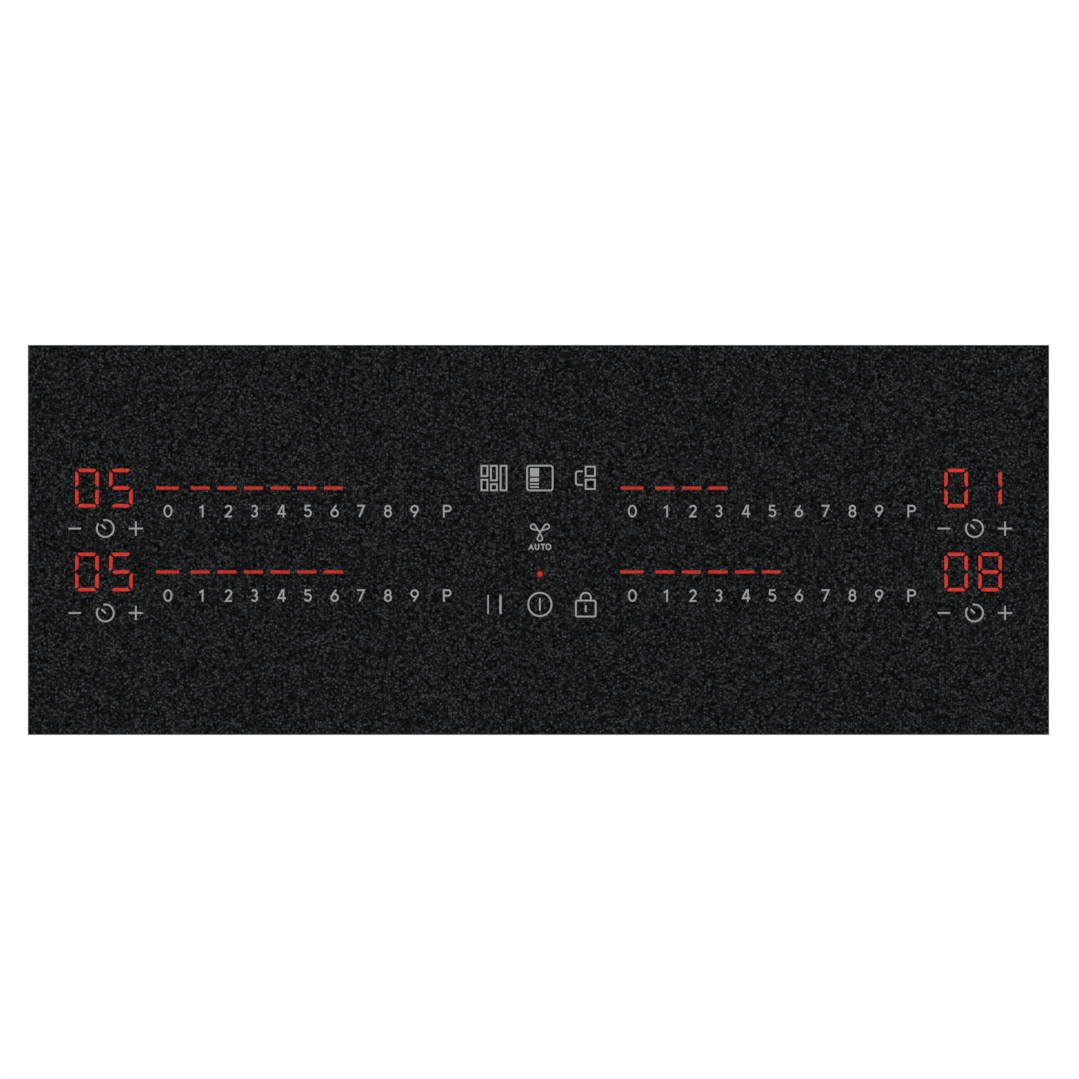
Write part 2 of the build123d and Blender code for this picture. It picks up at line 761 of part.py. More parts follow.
with BuildPart() as terminal_box:
    with Locations((terminal_x, box_y, terminal_z)):
        Box(terminal_width, terminal_depth, terminal_height, align=RISING)
    with Locations((terminal_x, box_y, terminal_z + terminal_wall)):
        Box(
            terminal_width - 2 * terminal_wall,
            terminal_depth - 2 * terminal_wall,
            opening_height,
            align=RISING,
            mode=Mode.SUBTRACT,
        )
    with Locations((opening_x, tray_y, terminal_z + terminal_wall)):
        Box(opening_width, 3 * terminal_wall, opening_height, align=RISING, mode=Mode.SUBTRACT)
    with Locations(Location((inlet_x, tray_y, inlet_z), (90, 0, 0))):
        Cylinder(inlet_radius + grommet_wall + 0.1, 4 * terminal_wall, mode=Mode.SUBTRACT)
    with Locations([Location((x, tray_y - terminal_depth, clamp_z), (90, 0, 0)) for x in wire_exit]):
        Cylinder(wire_radius + 0.3, 4 * terminal_wall, mode=Mode.SUBTRACT)
    for x in knuckle_x:
        for end in (-1, 1):
            ear_x = x + end * (knuckle_length / 2 + hinge_gap + hinge_ear / 2)
            with BuildSketch(Plane.YZ.offset(ear_x)):
                with Locations((hinge_y, hinge_z)):
                    Circle(hinge_knuckle_radius)
                with Locations(((tray_y - 0.5 + hinge_y) / 2, hinge_z + hinge_knuckle_radius / 2)):
                    Rectangle(hinge_y - tray_y + 0.5, hinge_knuckle_radius)
            extrude(amount=hinge_ear / 2, both=True)
        with Locations(Location((x, hinge_y, hinge_z), (0, 90, 0))):
            Cylinder(hinge_pin_radius, knuckle_length + 2 * (hinge_gap + hinge_ear))
    with Locations((terminal_x, box_y, floor_z)):
        with GridLocations(terminal_width - 14, terminal_depth - 14, 2, 2):
            Cylinder(standoff_radius, terminal_floor_gap, align=RISING)
write(terminal_box, "terminal_box")

with BuildPart() as terminal_cover:
    with Locations((opening_x, tray_y, terminal_z + terminal_wall + cover_gap)):
        Box(cover_wide, cover_thick, cover_high, align=(Align.CENTER, Align.MAX, Align.MIN))
        Box(14.0, 1.5, 1.6, align=(Align.CENTER, Align.MIN, Align.MIN))
    for x in knuckle_x:
        with Locations(Location((x, hinge_y, hinge_z), (0, 90, 0))):
            Cylinder(hinge_knuckle_radius, knuckle_length)
        with Locations((x, tray_y - 0.5, hinge_z - cover_gap)):
            Box(
                knuckle_length,
                hinge_y - tray_y + 0.5,
                hinge_knuckle_radius - cover_gap,
                align=(Align.CENTER, Align.MIN, Align.MAX),
            )
        with Locations(Location((x, hinge_y, hinge_z), (0, 90, 0))):
            Cylinder(hinge_pin_radius + hinge_pin_clearance, knuckle_length, mode=Mode.SUBTRACT)
write(terminal_cover, "terminal_cover")

with BuildPart() as terminal_block:
    with Locations((opening_x, block_y, terminal_z + terminal_wall)):
        Box(block_width, block_depth, block_height, align=RISING)
    with Locations([(x, block_y, terminal_z + terminal_wall + block_height) for x in clamp_x]):
        Cylinder(3.0, 3.0, align=HANGING, mode=Mode.SUBTRACT)
    with Locations([Location((x, block_y, clamp_z), (90, 0, 0)) for x in clamp_x]):
        Cylinder(2.2, block_depth, mode=Mode.SUBTRACT)
write(terminal_block, "terminal_block")

with BuildPart() as terminal_clamps:
    with Locations([(x, block_y, terminal_z + terminal_wall + block_height - 3.0) for x in clamp_x]):
        Cylinder(2.8, 2.0, align=RISING)
        Box(4.6, 0.8, 2.8, align=RISING, mode=Mode.SUBTRACT)
write(terminal_clamps, "terminal_clamps")

with BuildPart() as cable_grommet:
    with Locations(Location((inlet_x, tray_y, inlet_z), (-90, 0, 0))):
        Cylinder(inlet_radius + 2 * grommet_wall, grommet_flange, align=RISING)
        Cylinder(inlet_radius + grommet_wall, terminal_wall + grommet_flange, align=HANGING)
    inner_face = tray_y - terminal_wall
    with Locations(Location((inlet_x, inner_face, inlet_z), (-90, 0, 0))):
        Cylinder(inlet_radius + 1.6 * grommet_wall, grommet_flange, align=HANGING)
        Cylinder(inlet_radius, 6 * grommet_flange, mode=Mode.SUBTRACT)
write(cable_grommet, "cable_grommet")

# ---------------------------------------------------------------- coils

carrier_y = cooking_mid
carrier_depth = cooking_depth - 2.0
lip = carrier_z - terminal_z - terminal_height - 0.5
for side_name, side in sides.items():
    with BuildPart() as coil_carrier:
        with Locations((side * zone_x, carrier_y, carrier_z)):
            Box(carrier_width, carrier_depth, carrier_sheet, align=RISING)
        for end in (-1, 1):
            lip_y = carrier_y + end * (carrier_depth / 2 - carrier_sheet / 2)
            with Locations((side * zone_x, lip_y, carrier_z)):
                Box(carrier_width - 60, carrier_sheet, lip, align=HANGING)
    write(coil_carrier, f"coil_carrier_{side_name}")

post_x = carrier_width / 2 - post_inset
post_y = carrier_depth / 2 - post_inset
with BuildPart() as carrier_posts:
    for side in sides.values():
        with Locations((side * zone_x, carrier_y, floor_z)):
            with GridLocations(2 * post_x, 2 * post_y, 2, 2):
                Cylinder(post_radius, carrier_z - floor_z, align=RISING)
write(carrier_posts, "carrier_posts")

former_height = former_base + ferrite_thick
flex_bar_count = 8
flex_bar_step = (flex_coil_width - 24.0) / (flex_bar_count - 1)
flex_bar_length = flex_coil_depth - 8.0
bar_fit = 2 * ferrite_fit
round_coils = {"front": (front_coil_y, front_coil_radius, 6), "rear": (rear_coil_y, rear_coil_radius, 8)}

with BuildPart() as coil_former_flex:
    with Locations((-zone_x, cooking_mid, former_z)):
        Box(flex_coil_width + 2.0, cooking_depth - 3.0, former_height, align=RISING)
        with GridLocations(flex_bar_step, flex_pitch, flex_bar_count, flex_count):
            Box(
                ferrite_width + bar_fit,
                flex_bar_length + bar_fit,
                ferrite_thick,
                align=RISING,
                mode=Mode.SUBTRACT,
            )
write(coil_former_flex, "coil_former_flex")

with BuildPart() as coil_formers_round:
    for y, radius, bars in round_coils.values():
        with Locations((zone_x, y, former_z)):
            Cylinder(radius + former_rim, former_height, align=RISING)
            with PolarLocations((radius + coil_eye_radius) / 2, bars):
                Box(
                    radius - coil_eye_radius - 4 + bar_fit,
                    ferrite_width + bar_fit,
                    ferrite_thick,
                    align=RISING,
                    mode=Mode.SUBTRACT,
                )
write(coil_formers_round, "coil_formers_round")

with BuildPart() as ferrites:
    with Locations((-zone_x, cooking_mid, former_z)):
        with GridLocations(flex_bar_step, flex_pitch, flex_bar_count, flex_count):
            Box(ferrite_width, flex_bar_length, ferrite_thick, align=RISING)
    for y, radius, bars in round_coils.values():
        with Locations((zone_x, y, former_z)):
            with PolarLocations((radius + coil_eye_radius) / 2, bars):
                Box(radius - coil_eye_radius - 4, ferrite_width, ferrite_thick, align=RISING)
write(ferrites, "ferrites")

for number, y in enumerate(flex_y, start=1):
    with BuildPart() as winding:
        with BuildSketch(Plane.XY.offset(winding_z)):
            with Locations((-zone_x, y)):
                SlotOverall(flex_coil_width, flex_coil_depth)
                SlotOverall(
                    flex_coil_width - 2 * flex_coil_ring,
                    flex_coil_depth - 2 * flex_coil_ring,
                    mode=Mode.SUBTRACT,
                )
        extrude(amount=winding_thick)
    write(winding, f"winding_flex_{number}")

for name, (y, radius, bars) in round_coils.items():
    with BuildPart() as winding:
        with BuildSketch(Plane.XY.offset(winding_z)):
            with Locations((zone_x, y)):
                Circle(radius)
                Circle(coil_eye_radius, mode=Mode.SUBTRACT)
        extrude(amount=winding_thick)
    write(winding, f"winding_{name}")

sensor_places = [(-zone_x, y) for y in flex_y] + [(zone_x, front_coil_y), (zone_x, rear_coil_y)]
with BuildPart() as pan_sensors:
    with Locations([(x, y, winding_z) for x, y in sensor_places]):
        Cylinder(sensor_radius, winding_thick, align=RISING)
        Cylinder(sensor_radius / 3, winding_thick / 2, align=RISING, mode=Mode.SUBTRACT)
write(pan_sensors, "pan_sensors")

with BuildPart() as mica_sheets:
    for side in sides.values():
        with BuildSketch(Plane.XY.offset(winding_top)):
            with Locations((side * zone_x, cooking_mid)):
                RectangleRounded(flex_coil_width + 4.0, cooking_depth - 2.0, 6.0)
        extrude(amount=mica_thick)
write(mica_sheets, "mica_sheets")

# ---------------------------------------------------------------- power electronics

sink_screen = 3.0
sink_front = sink_y - sink_depth / 2
for side_name, side in sides.items():
    with BuildPart() as power_board:
        with Locations((side * zone_x, board_y, board_z)):
            Box(board_width, board_depth, board_thick, align=RISING)
    write(power_board, f"power_board_{side_name}")

    with BuildPart() as heat_sink:
        with BuildSketch(Plane.YZ.offset(side * zone_x - sink_length / 2)):
            with Locations((sink_y, board_top + sink_base / 2)):
                Rectangle(sink_depth, sink_base)
            fin_step = (sink_depth - sink_fin) / (sink_fin_count - 1)
            with Locations((sink_y, board_top + sink_height / 2)):
                with GridLocations(fin_step, 0, sink_fin_count, 1):
                    Rectangle(sink_fin, sink_height)
            with Locations((sink_front + sink_screen / 2, board_top + sink_height / 2)):
                Rectangle(sink_screen, sink_height)
        extrude(amount=sink_length)
    write(heat_sink, f"heat_sink_{side_name}")

with BuildPart() as board_standoffs:
    for side in sides.values():
        with Locations((side * zone_x, board_y, floor_z)):
            with GridLocations(board_width - 12, board_depth - 12, 2, 2):
                Cylinder(standoff_radius, board_lift, align=RISING)
    with Locations((0, filter_y, floor_z)):
        with GridLocations(filter_width - 12, filter_depth - 12, 2, 2):
            Cylinder(standoff_radius, board_lift, align=RISING)
write(board_standoffs, "board_standoffs")

with BuildPart() as transistors:
    for side in sides.values():
        with Locations((side * zone_x, sink_front - transistor_thick / 2, board_top)):
            with GridLocations(32.0, 0, 4, 1):
                Box(transistor_width, transistor_thick, transistor_height, align=RISING)
write(transistors, "transistors")

film_size = (31.0, 18.0, 19.0)
with BuildPart() as capacitors:
    for side in sides.values():
        with Locations((side * zone_x, board_y - 44.0, board_top)):
            with GridLocations(38.0, 30.0, 3, 2):
                Box(*film_size, align=RISING)
    with Locations((filter_width * 0.3, filter_y, board_top)):
        with GridLocations(0, 30.0, 1, 2):
            Box(*film_size, align=RISING)
    fillet(capacitors.edges().filter_by(Axis.Z), 1.5)
    for side in sides.values():
        with Locations((side * zone_x, board_y - 96.0, board_top)):
            with GridLocations(28.0, 0, 4, 1):
                Cylinder(8.0, 20.0, align=RISING)
write(capacitors, "capacitors")

choke_major = 11.0
choke_minor = 5.0
choke_places = [(side * zone_x, board_y + 106.0) for side in sides.values()]
choke_apart = choke_major + choke_minor + 1.0
choke_places += [(-filter_width * 0.26, filter_y + end * choke_apart) for end in (-1, 1)]
with BuildPart() as chokes:
    with Locations([(x, y, board_top + choke_minor) for x, y in choke_places]):
        Torus(choke_major, choke_minor)
write(chokes, "chokes")

with BuildPart() as filter_board:
    with Locations((0, filter_y, board_z)):
        Box(filter_width, filter_depth, board_thick, align=RISING)
write(filter_board, "filter_board")

strip_wide = 8.0
strip_high = 5.0
board_edge = board_width / 2
ribbon_end = filter_y - filter_depth / 2
with BuildPart() as board_connectors:
    for side in sides.values():
        for low, high in ((-board_depth / 2 + 4, 40.0), (84.0, board_depth / 2 - 4)):
            place = (side * (zone_x - board_edge + strip_wide / 2), board_y + (low + high) / 2, board_top)
            with Locations(place):
                Box(strip_wide, high - low, strip_high, align=RISING)
    with Locations((0, ribbon_end + strip_wide / 2, board_top)):
        Box(20.0, strip_wide, strip_high, align=RISING)
    with Locations((filter_width / 2 - 4.0, filter_y, board_top)):
        Box(strip_wide, 28.0, strip_high, align=RISING)
write(board_connectors, "board_connectors")

# ---------------------------------------------------------------- blowers

for side_name, side in sides.items():
    x = side * blower_x
    with BuildPart() as blower_housing:
        with BuildSketch(Plane.XY.offset(blower_z)):
            with Locations((x, blower_y)):
                Circle(blower_radius)
            with Locations((x + side * outlet_reach / 2, sink_y)):
                Rectangle(outlet_reach, outlet_width)
        extrude(amount=blower_height)
        with BuildSketch(Plane.XY.offset(blower_z + blower_wall)):
            with Locations((x, blower_y)):
                Circle(blower_radius - blower_wall)
            with Locations((x + side * outlet_reach / 2 + side * blower_wall, sink_y)):
                Rectangle(outlet_reach, outlet_width - 2 * blower_wall)
        extrude(amount=blower_height - 2 * blower_wall, mode=Mode.SUBTRACT)
        with Locations((x, blower_y, blower_z)):
            Cylinder(intake_radius, 2 * blower_wall, align=RISING, mode=Mode.SUBTRACT)
        motor_z = blower_top - blower_wall
        with Locations((x, blower_y, motor_z)):
            Cylinder(motor_radius, motor_height, align=HANGING)
            Cylinder(shaft_radius, motor_z - shaft_tip_z, align=HANGING)
        with Locations((x, blower_y, rotor_z + 5.7)):
            Cylinder(2 * shaft_radius, 0.8, align=HANGING)
    write(blower_housing, f"blower_housing_{side_name}")

    with BuildPart() as blower_rotor:
        with Locations((x, blower_y, rotor_top)):
            Cylinder(rotor_radius, rotor_plate, align=HANGING)
            Cylinder(rotor_hub_radius, rotor_top - rotor_z - 6.0, align=HANGING)
        with BuildSketch(Plane.XY.offset(rotor_z)):
            with Locations((x, blower_y)):
                Circle(rotor_radius)
                Circle(rotor_inner_radius, mode=Mode.SUBTRACT)
        extrude(amount=rotor_plate)
        blade_length = (rotor_radius - rotor_inner_radius) * 0.95
        with BuildSketch(Plane.XY.offset(rotor_z)):
            with Locations((x, blower_y)):
                with PolarLocations((rotor_radius + rotor_inner_radius) / 2, blade_count):
                    Rectangle(blade_length, blade_thick, rotation=28.0 * side)
        extrude(amount=rotor_top - rotor_z)
        with Locations((x, blower_y, rotor_top)):
            Cylinder(
                shaft_radius + shaft_clearance, rotor_top - rotor_z, align=HANGING, mode=Mode.SUBTRACT
            )
    write(blower_rotor, f"blower_rotor_{side_name}")

# ---------------------------------------------------------------- controls

leg_x = [share * ui_width for share in (-0.46, -0.16, 0.16, 0.46)]
boss_y = ui_depth / 2 - 6.0
with BuildPart() as ui_carrier:
    with Locations((0, ui_y, ui_carrier_z)):
        Box(ui_width + 4.0, ui_depth + 3.0, ui_carrier_thick, align=RISING)
    for x in leg_x:
        for end in (-1, 1):
            with Locations((x, ui_y + end * boss_y, floor_z)):
                Cylinder(standoff_radius, ui_board_z - floor_z, align=RISING)
write(ui_carrier, "ui_carrier")

with BuildPart() as ui_board:
    with Locations((0, ui_y, ui_board_z)):
        Box(ui_width, ui_depth, board_thick, align=RISING)
write(ui_board, "ui_board")

with BuildPart() as timer_displays:
    with Locations([(side * digit_x, y, ui_board_top) for side in (-1, 1) for y in row_y]):
        Box(display_width, display_depth, display_height, align=RISING)
write(timer_displays, "timer_displays")

with BuildPart() as light_guides:
    for start in (slider_start_left, slider_start_right):
        places = slider_places(start)
        guide_length = places[-1] - places[0] + bar_first_width
        for y in row_y:
            with Locations(((places[0] + places[-1]) / 2, y, ui_board_top)):
                Box(guide_length, guide_depth, guide_height, align=RISING)
    with Locations((icon_x[1], from_front(dot_from_front), ui_board_top)):
        Cylinder(2 * dot_radius, guide_height, align=RISING)
write(light_guides, "light_guides")

spring_places = [(x, from_front(icon_rear)) for x in icon_x]
spring_places += [(x, from_front(icon_front)) for x in icon_x]
spring_places += [(icon_x[1], from_front(fan_from_front))]
for side in (-1, 1):
    for y in symbol_y:
        symbol_x = side * digit_x + symbol_shift
        spring_places += [(symbol_x + end * symbol_spacing, y) for end in (-1, 1)]
with BuildPart() as touch_springs:
    with Locations([(x, y, ui_board_top) for x, y in spring_places]):
        Cylinder(spring_radius, spring_height, align=RISING)
        Cylinder(spring_radius - spring_wall, spring_height, align=RISING, mode=Mode.SUBTRACT)
write(touch_springs, "touch_springs")

with BuildPart() as buzzer:
    with Locations((-ui_width / 5, (row_y[0] + row_y[1]) / 2, ui_board_top)):
        Cylinder(6.0, 5.0, align=RISING)
        Cylinder(1.2, 6.0, align=RISING, mode=Mode.SUBTRACT)
write(buzzer, "buzzer")

# ---------------------------------------------------------------- wires


def corner_radii(points):
    """Largest even bend at each corner: 0.45 of the shorter run over the tangent of half the turn."""
    radii = []
    for before, here, after in zip(points, points[1:], points[2:]):
        run_in = Vector(here) - Vector(before)
        run_out = Vector(after) - Vector(here)
        turn = run_in.get_angle(run_out)
        radii.append(0.45 * min(run_in.length, run_out.length) / tan(radians(turn / 2)))
    return radii


def start_plane(points):
    """Plane at the first point, square to the first run."""
    return Plane(origin=points[0], z_dir=Vector(points[1]) - Vector(points[0]))


def lead_points(side, coil_x, y, end_y):
    """From the edge of a winding down the lane beside the carrier to the edge of the power board."""
    lane = zone_x - carrier_width / 2 - 4.0
    lead_z = winding_z + winding_thick / 2
    edge = zone_x - board_edge - 0.7
    return [
        (side * coil_x, y, lead_z),
        (side * lane, y, lead_z),
        (side * lane, end_y, board_top + 8.0),
        (side * edge, end_y, board_top + 2.5),
    ]


lead_apart = 5.0
flex_edge = zone_x - flex_coil_width / 2 - 0.3
flex_ends = [flex_y[0], flex_y[1], board_y + 90.0, board_y + 108.0]
lead_routes = []
for offset_y in (-lead_apart, lead_apart):
    for y, end_y in zip(flex_y, flex_ends):
        lead_routes.append(lead_points(-1, flex_edge, y + offset_y, end_y + offset_y))
    for (y, radius, bars), end_y in zip(round_coils.values(), (front_coil_y, board_y + 100.0)):
        edge_x = zone_x - (radius**2 - lead_apart**2) ** 0.5 - 0.3
        lead_routes.append(lead_points(1, edge_x, y + offset_y, end_y + offset_y))

with BuildPart() as coil_leads:
    for points in lead_routes:
        with BuildLine() as route:
            FilletPolyline(*points, radius=corner_radii(points))
        with BuildSketch(start_plane(points)) as section_sketch:
            Circle(lead_radius)
        sweep(sections=section_sketch.sketch, path=route.line)
write(coil_leads, "coil_leads")

wire_y = [filter_y - 9.0, filter_y, filter_y + 9.0]
with BuildPart() as mains_wires:
    for x, y in zip(wire_exit, reversed(wire_y)):
        points = [
            (x, block_y - block_depth / 2 - 0.2, clamp_z),
            (x, y - 4.0, clamp_z),
            (filter_width / 2 + 30.0, y, clamp_z + 2.0),
            (filter_width / 2 + 0.2, y, board_top + 2.5),
        ]
        with BuildLine() as route:
            FilletPolyline(*points, radius=corner_radii(points))
        with BuildSketch(start_plane(points)) as section_sketch:
            Circle(wire_radius)
        sweep(sections=section_sketch.sketch, path=route.line)
write(mains_wires, "mains_wires")

ribbon_width = 14.0
ribbon_thick = 1.0
ribbon_y = ui_y + ui_depth / 2 + 0.2
ribbon_points = [
    (0, ribbon_y, ui_board_z + board_thick / 2),
    (0, ribbon_y + 22.0, ui_board_z + board_thick / 2),
    (0, ribbon_y + 55.0, board_top + 2.0),
    (0, ribbon_end - 0.2, board_top + 1.5),
]
with BuildPart() as ribbon_cable:
    with BuildLine() as route:
        FilletPolyline(*ribbon_points, radius=corner_radii(ribbon_points))
    with BuildSketch(Plane(origin=ribbon_points[0], x_dir=(1, 0, 0), z_dir=(0, 1, 0))) as section_sketch:
        Rectangle(ribbon_width, ribbon_thick)
    sweep(sections=section_sketch.sketch, path=route.line)
write(ribbon_cable, "ribbon_cable")
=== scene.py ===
"""Looks of the built-in induction hob: materials, fine pieces, floor, light and camera.

Everything is in metres in the CAD frame: origin under the middle of the tray, +Z up, the user at -Y.
"""
import json
import math

import bmesh
import bpy
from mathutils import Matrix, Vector


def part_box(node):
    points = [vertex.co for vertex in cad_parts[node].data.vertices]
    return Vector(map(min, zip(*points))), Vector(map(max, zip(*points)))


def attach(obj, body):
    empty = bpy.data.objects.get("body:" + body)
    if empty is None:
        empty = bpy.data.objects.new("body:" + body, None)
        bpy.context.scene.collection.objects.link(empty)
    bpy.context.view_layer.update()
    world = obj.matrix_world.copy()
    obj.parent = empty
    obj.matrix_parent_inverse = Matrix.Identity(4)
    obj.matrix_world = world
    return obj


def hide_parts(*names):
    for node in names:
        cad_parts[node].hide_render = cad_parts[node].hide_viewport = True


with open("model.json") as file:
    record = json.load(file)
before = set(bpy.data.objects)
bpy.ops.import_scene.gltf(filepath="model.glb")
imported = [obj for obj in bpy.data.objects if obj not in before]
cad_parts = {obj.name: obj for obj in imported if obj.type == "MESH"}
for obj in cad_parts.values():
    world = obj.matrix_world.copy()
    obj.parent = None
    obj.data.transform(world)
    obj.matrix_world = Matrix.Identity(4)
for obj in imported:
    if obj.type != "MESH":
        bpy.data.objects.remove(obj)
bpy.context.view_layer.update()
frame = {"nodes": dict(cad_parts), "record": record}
nodes = frame["nodes"]
slot_of = {row["node"]: row["material_slot"] for row in frame["record"]["subparts"]}
MM = 0.001


# ---------------------------------------------------------------- material helpers


class Shader:
    """A node material with short calls for the nodes that the looks below use."""

    def __init__(self, name):
        self.material = bpy.data.materials.new(name)
        self.material.use_nodes = True
        self.tree = self.material.node_tree
        self.bsdf = self.tree.nodes["Principled BSDF"]
        self.coordinates = self.tree.nodes.new("ShaderNodeTexCoord").outputs["Object"]

    def node(self, kind, inputs=None, **settings):
        """A node with its inputs linked to sockets or set to values, and its settings."""
        made = self.tree.nodes.new(kind)
        for key, value in settings.items():
            setattr(made, key, value)
        for key, value in (inputs or {}).items():
            if isinstance(value, bpy.types.NodeSocket):
                self.tree.links.new(value, made.inputs[key])
            else:
                made.inputs[key].default_value = value
        return made

    def stretched(self, scale):
        """Object coordinates stretched along an axis, for brushed and rolled surfaces."""
        inputs = {"Vector": self.coordinates, "Scale": scale}
        return self.node("ShaderNodeMapping", inputs).outputs["Vector"]

    def noise(self, size, detail=2.0, where=None):
        """Noise with features of about size metres."""
        inputs = {"Vector": where or self.coordinates, "Scale": 1 / size, "Detail": detail}
        return self.node("ShaderNodeTexNoise", inputs).outputs["Fac"]

    def cells(self, size, output="Distance"):
        """Voronoi cells of about size metres: the distance to their middles, or a random colour for each."""
        inputs = {"Vector": self.coordinates, "Scale": 1 / size}
        return self.node("ShaderNodeTexVoronoi", inputs).outputs[output]

    def ramp(self, value, stops):
        """Value to colour; stops are (position, colour) with colours of three numbers or one grey."""
        ramp = self.node("ShaderNodeValToRGB", {"Fac": value})
        while len(ramp.color_ramp.elements) < len(stops):
            ramp.color_ramp.elements.new(0.5)
        for element, (position, colour) in zip(ramp.color_ramp.elements, stops):
            element.position = position
            grey = not hasattr(colour, "__len__")
            element.color = (colour, colour, colour, 1) if grey else (*colour, 1)
        return ramp.outputs["Color"]

    def range(self, value, low, high, to_low, to_high):
        """Value carried from one range to another, and held at its ends."""
        inputs = {"Value": value, "From Min": low, "From Max": high, "To Min": to_low, "To Max": to_high}
        return self.node("ShaderNodeMapRange", inputs).outputs["Result"]

    def mix(self, factor, a, b):
        """Colour a, or b where the factor is 1."""
        made = self.node("ShaderNodeMix", data_type="RGBA")
        for index, value in ((0, factor), (6, a), (7, b)):
            if isinstance(value, bpy.types.NodeSocket):
                self.tree.links.new(value, made.inputs[index])
            elif index and len(value) == 3:
                made.inputs[index].default_value = (*value, 1)
            else:
                made.inputs[index].default_value = value
        return made.outputs[2]

    def math(self, operation, a, b=0.0):
        """One operation on two numbers or sockets."""
        made = self.node("ShaderNodeMath", operation=operation)
        for index, value in enumerate((a, b)):
            if isinstance(value, bpy.types.NodeSocket):
                self.tree.links.new(value, made.inputs[index])
            else:
                made.inputs[index].default_value = value
        return made.outputs[0]

    def distance(self, place):
        """Distance from a place in object coordinates."""
        inputs = {0: self.coordinates, 1: place}
        return self.node("ShaderNodeVectorMath", inputs, operation="DISTANCE").outputs["Value"]

    def between(self, value, low, high):
        """How far a noise or tone lies between two values, from 0 to 1."""
        return self.range(value, low, high, 0.0, 1.0)

    def bump(self, height, strength, distance):
        """Fine relief from a height; distance is its depth in metres."""
        made = self.node("ShaderNodeBump", {"Height": height, "Strength": strength, "Distance": distance})
        self.tree.links.new(made.outputs["Normal"], self.bsdf.inputs["Normal"])

    def set(self, **values):
        """Principled inputs by name, with _ for a space."""
        for key, value in values.items():
            socket = self.bsdf.inputs[key.replace("_", " ")]
            if isinstance(value, bpy.types.NodeSocket):
                self.tree.links.new(value, socket)
            elif hasattr(value, "__len__") and len(value) == 3 and socket.type == "RGBA":
                socket.default_value = (*value, 1)
            else:
                socket.default_value = value


def power_dot():
    """Middle of the round power light, the only lit mark near the middle of the hob."""
    marks = [v.co for v in nodes["indicators_lit"].data.vertices if abs(v.co.x) < 10 * MM]
    return sum(marks, Vector()) / len(marks)


def speckled_glass():
    """Matt black glass ceramic: round grains about a millimetre across, each of its own tone."""
    s = Shader("matt_black_glass")
    wobble = s.noise(0.9 * MM, detail=0)
    tone = s.node("ShaderNodeSeparateColor", {"Color": s.cells(0.8 * MM, output="Color")}).outputs["Red"]
    inward = s.range(s.cells(0.8 * MM), 0.15, 0.7, 1.0, 0.25)
    grain = s.math("MULTIPLY", tone, inward)
    grain = s.math("ADD", s.math("MULTIPLY", grain, 0.75), s.math("MULTIPLY", wobble, 0.35))
    tones = [(0.12, 0.0), (0.26, 0.0045), (0.42, 0.0145), (0.56, 0.027), (0.72, 0.048), (0.9, 0.085)]
    base = s.ramp(grain, [(place, (0.95 * light, light, 1.08 * light)) for place, light in tones])
    # Painted glow: the little red light that spreads in the glass round the power light is painted into the
    # glass's base colour
    painted_red_glow = s.range(s.distance(power_dot()), 0.9 * MM, 1.8 * MM, 0.4, 0.0)
    base = s.mix(painted_red_glow, base, (0.15, 0.008, 0.005))
    s.set(Base_Color=base, Roughness=s.range(grain, 0.2, 0.8, 0.36, 0.46), Specular_IOR_Level=0.03)
    s.bump(grain, 0.12, 0.05 * MM)
    return s.material


def glass_edge():
    """Ground and polished rim of the glass: darker and shinier than its face, with fine grinding marks."""
    s = Shader("ground_glass_edge")
    marks = s.noise(0.35 * MM, detail=3, where=s.stretched((0.08, 0.08, 1)))
    tint = s.ramp(marks, [(0.3, (0.004, 0.0045, 0.0048)), (0.75, (0.012, 0.0135, 0.014))])
    s.set(Base_Color=tint, Roughness=s.range(marks, 0.3, 0.7, 0.16, 0.3), Specular_IOR_Level=0.4)
    s.bump(marks, 0.15, 0.03 * MM)
    return s.material


def foam():
    """Black closed-cell foam with fine pores."""
    s = Shader("closed_cell_foam")
    pores = s.cells(0.7 * MM)
    s.set(
        # The pores are painted darker towards their middles, where the bump sinks them: painted shade in the
        # pores
        Base_Color=s.ramp(pores, [(0.0, 0.012), (0.5, 0.032), (1.0, 0.05)]),
        Roughness=s.range(s.noise(3 * MM), 0.3, 0.7, 0.82, 0.95),
        Specular_IOR_Level=0.2,
    )
    s.bump(pores, 0.6, 0.3 * MM)
    return s.material


def galvanised():
    """Zinc-coated sheet: soft spangle, faint rolling lines and dull finger-sized clouds."""
    s = Shader("galvanised_sheet")
    spangle = s.cells(4.5 * MM, output="Color")
    tone = s.node("ShaderNodeSeparateColor", {"Color": spangle}).outputs["Red"]
    clouds = s.noise(60 * MM, detail=4)
    lines = s.noise(1.2 * MM, detail=3, where=s.stretched((0.02, 1, 1)))
    colour = s.ramp(tone, [(0.0, (0.50, 0.515, 0.53)), (1.0, (0.60, 0.612, 0.625))])
    colour = s.mix(s.range(clouds, 0.35, 0.7, 0.0, 0.4), colour, (0.43, 0.44, 0.452))
    s.set(
        Base_Color=colour,
        Metallic=0.9,
        Roughness=s.math("ADD", s.range(tone, 0, 1, 0.27, 0.34), s.range(lines, 0.3, 0.7, -0.03, 0.08)),
    )
    s.bump(s.math("ADD", lines, s.math("MULTIPLY", clouds, 0.6)), 0.12, 0.12 * MM)
    return s.material


def enamel():
    """Fired grey print: slightly open and uneven, as screen print on a rough glass is."""
    s = Shader("grey_enamel_print")
    grain = s.noise(0.45 * MM, detail=3)
    s.set(
        Base_Color=s.ramp(grain, [(0.25, (0.295, 0.317, 0.33)), (0.75, (0.405, 0.435, 0.455))]),
        Roughness=s.range(grain, 0.3, 0.7, 0.5, 0.75),
        Specular_IOR_Level=0.25,
    )
    s.bump(grain, 0.3, 0.03 * MM)
    return s.material


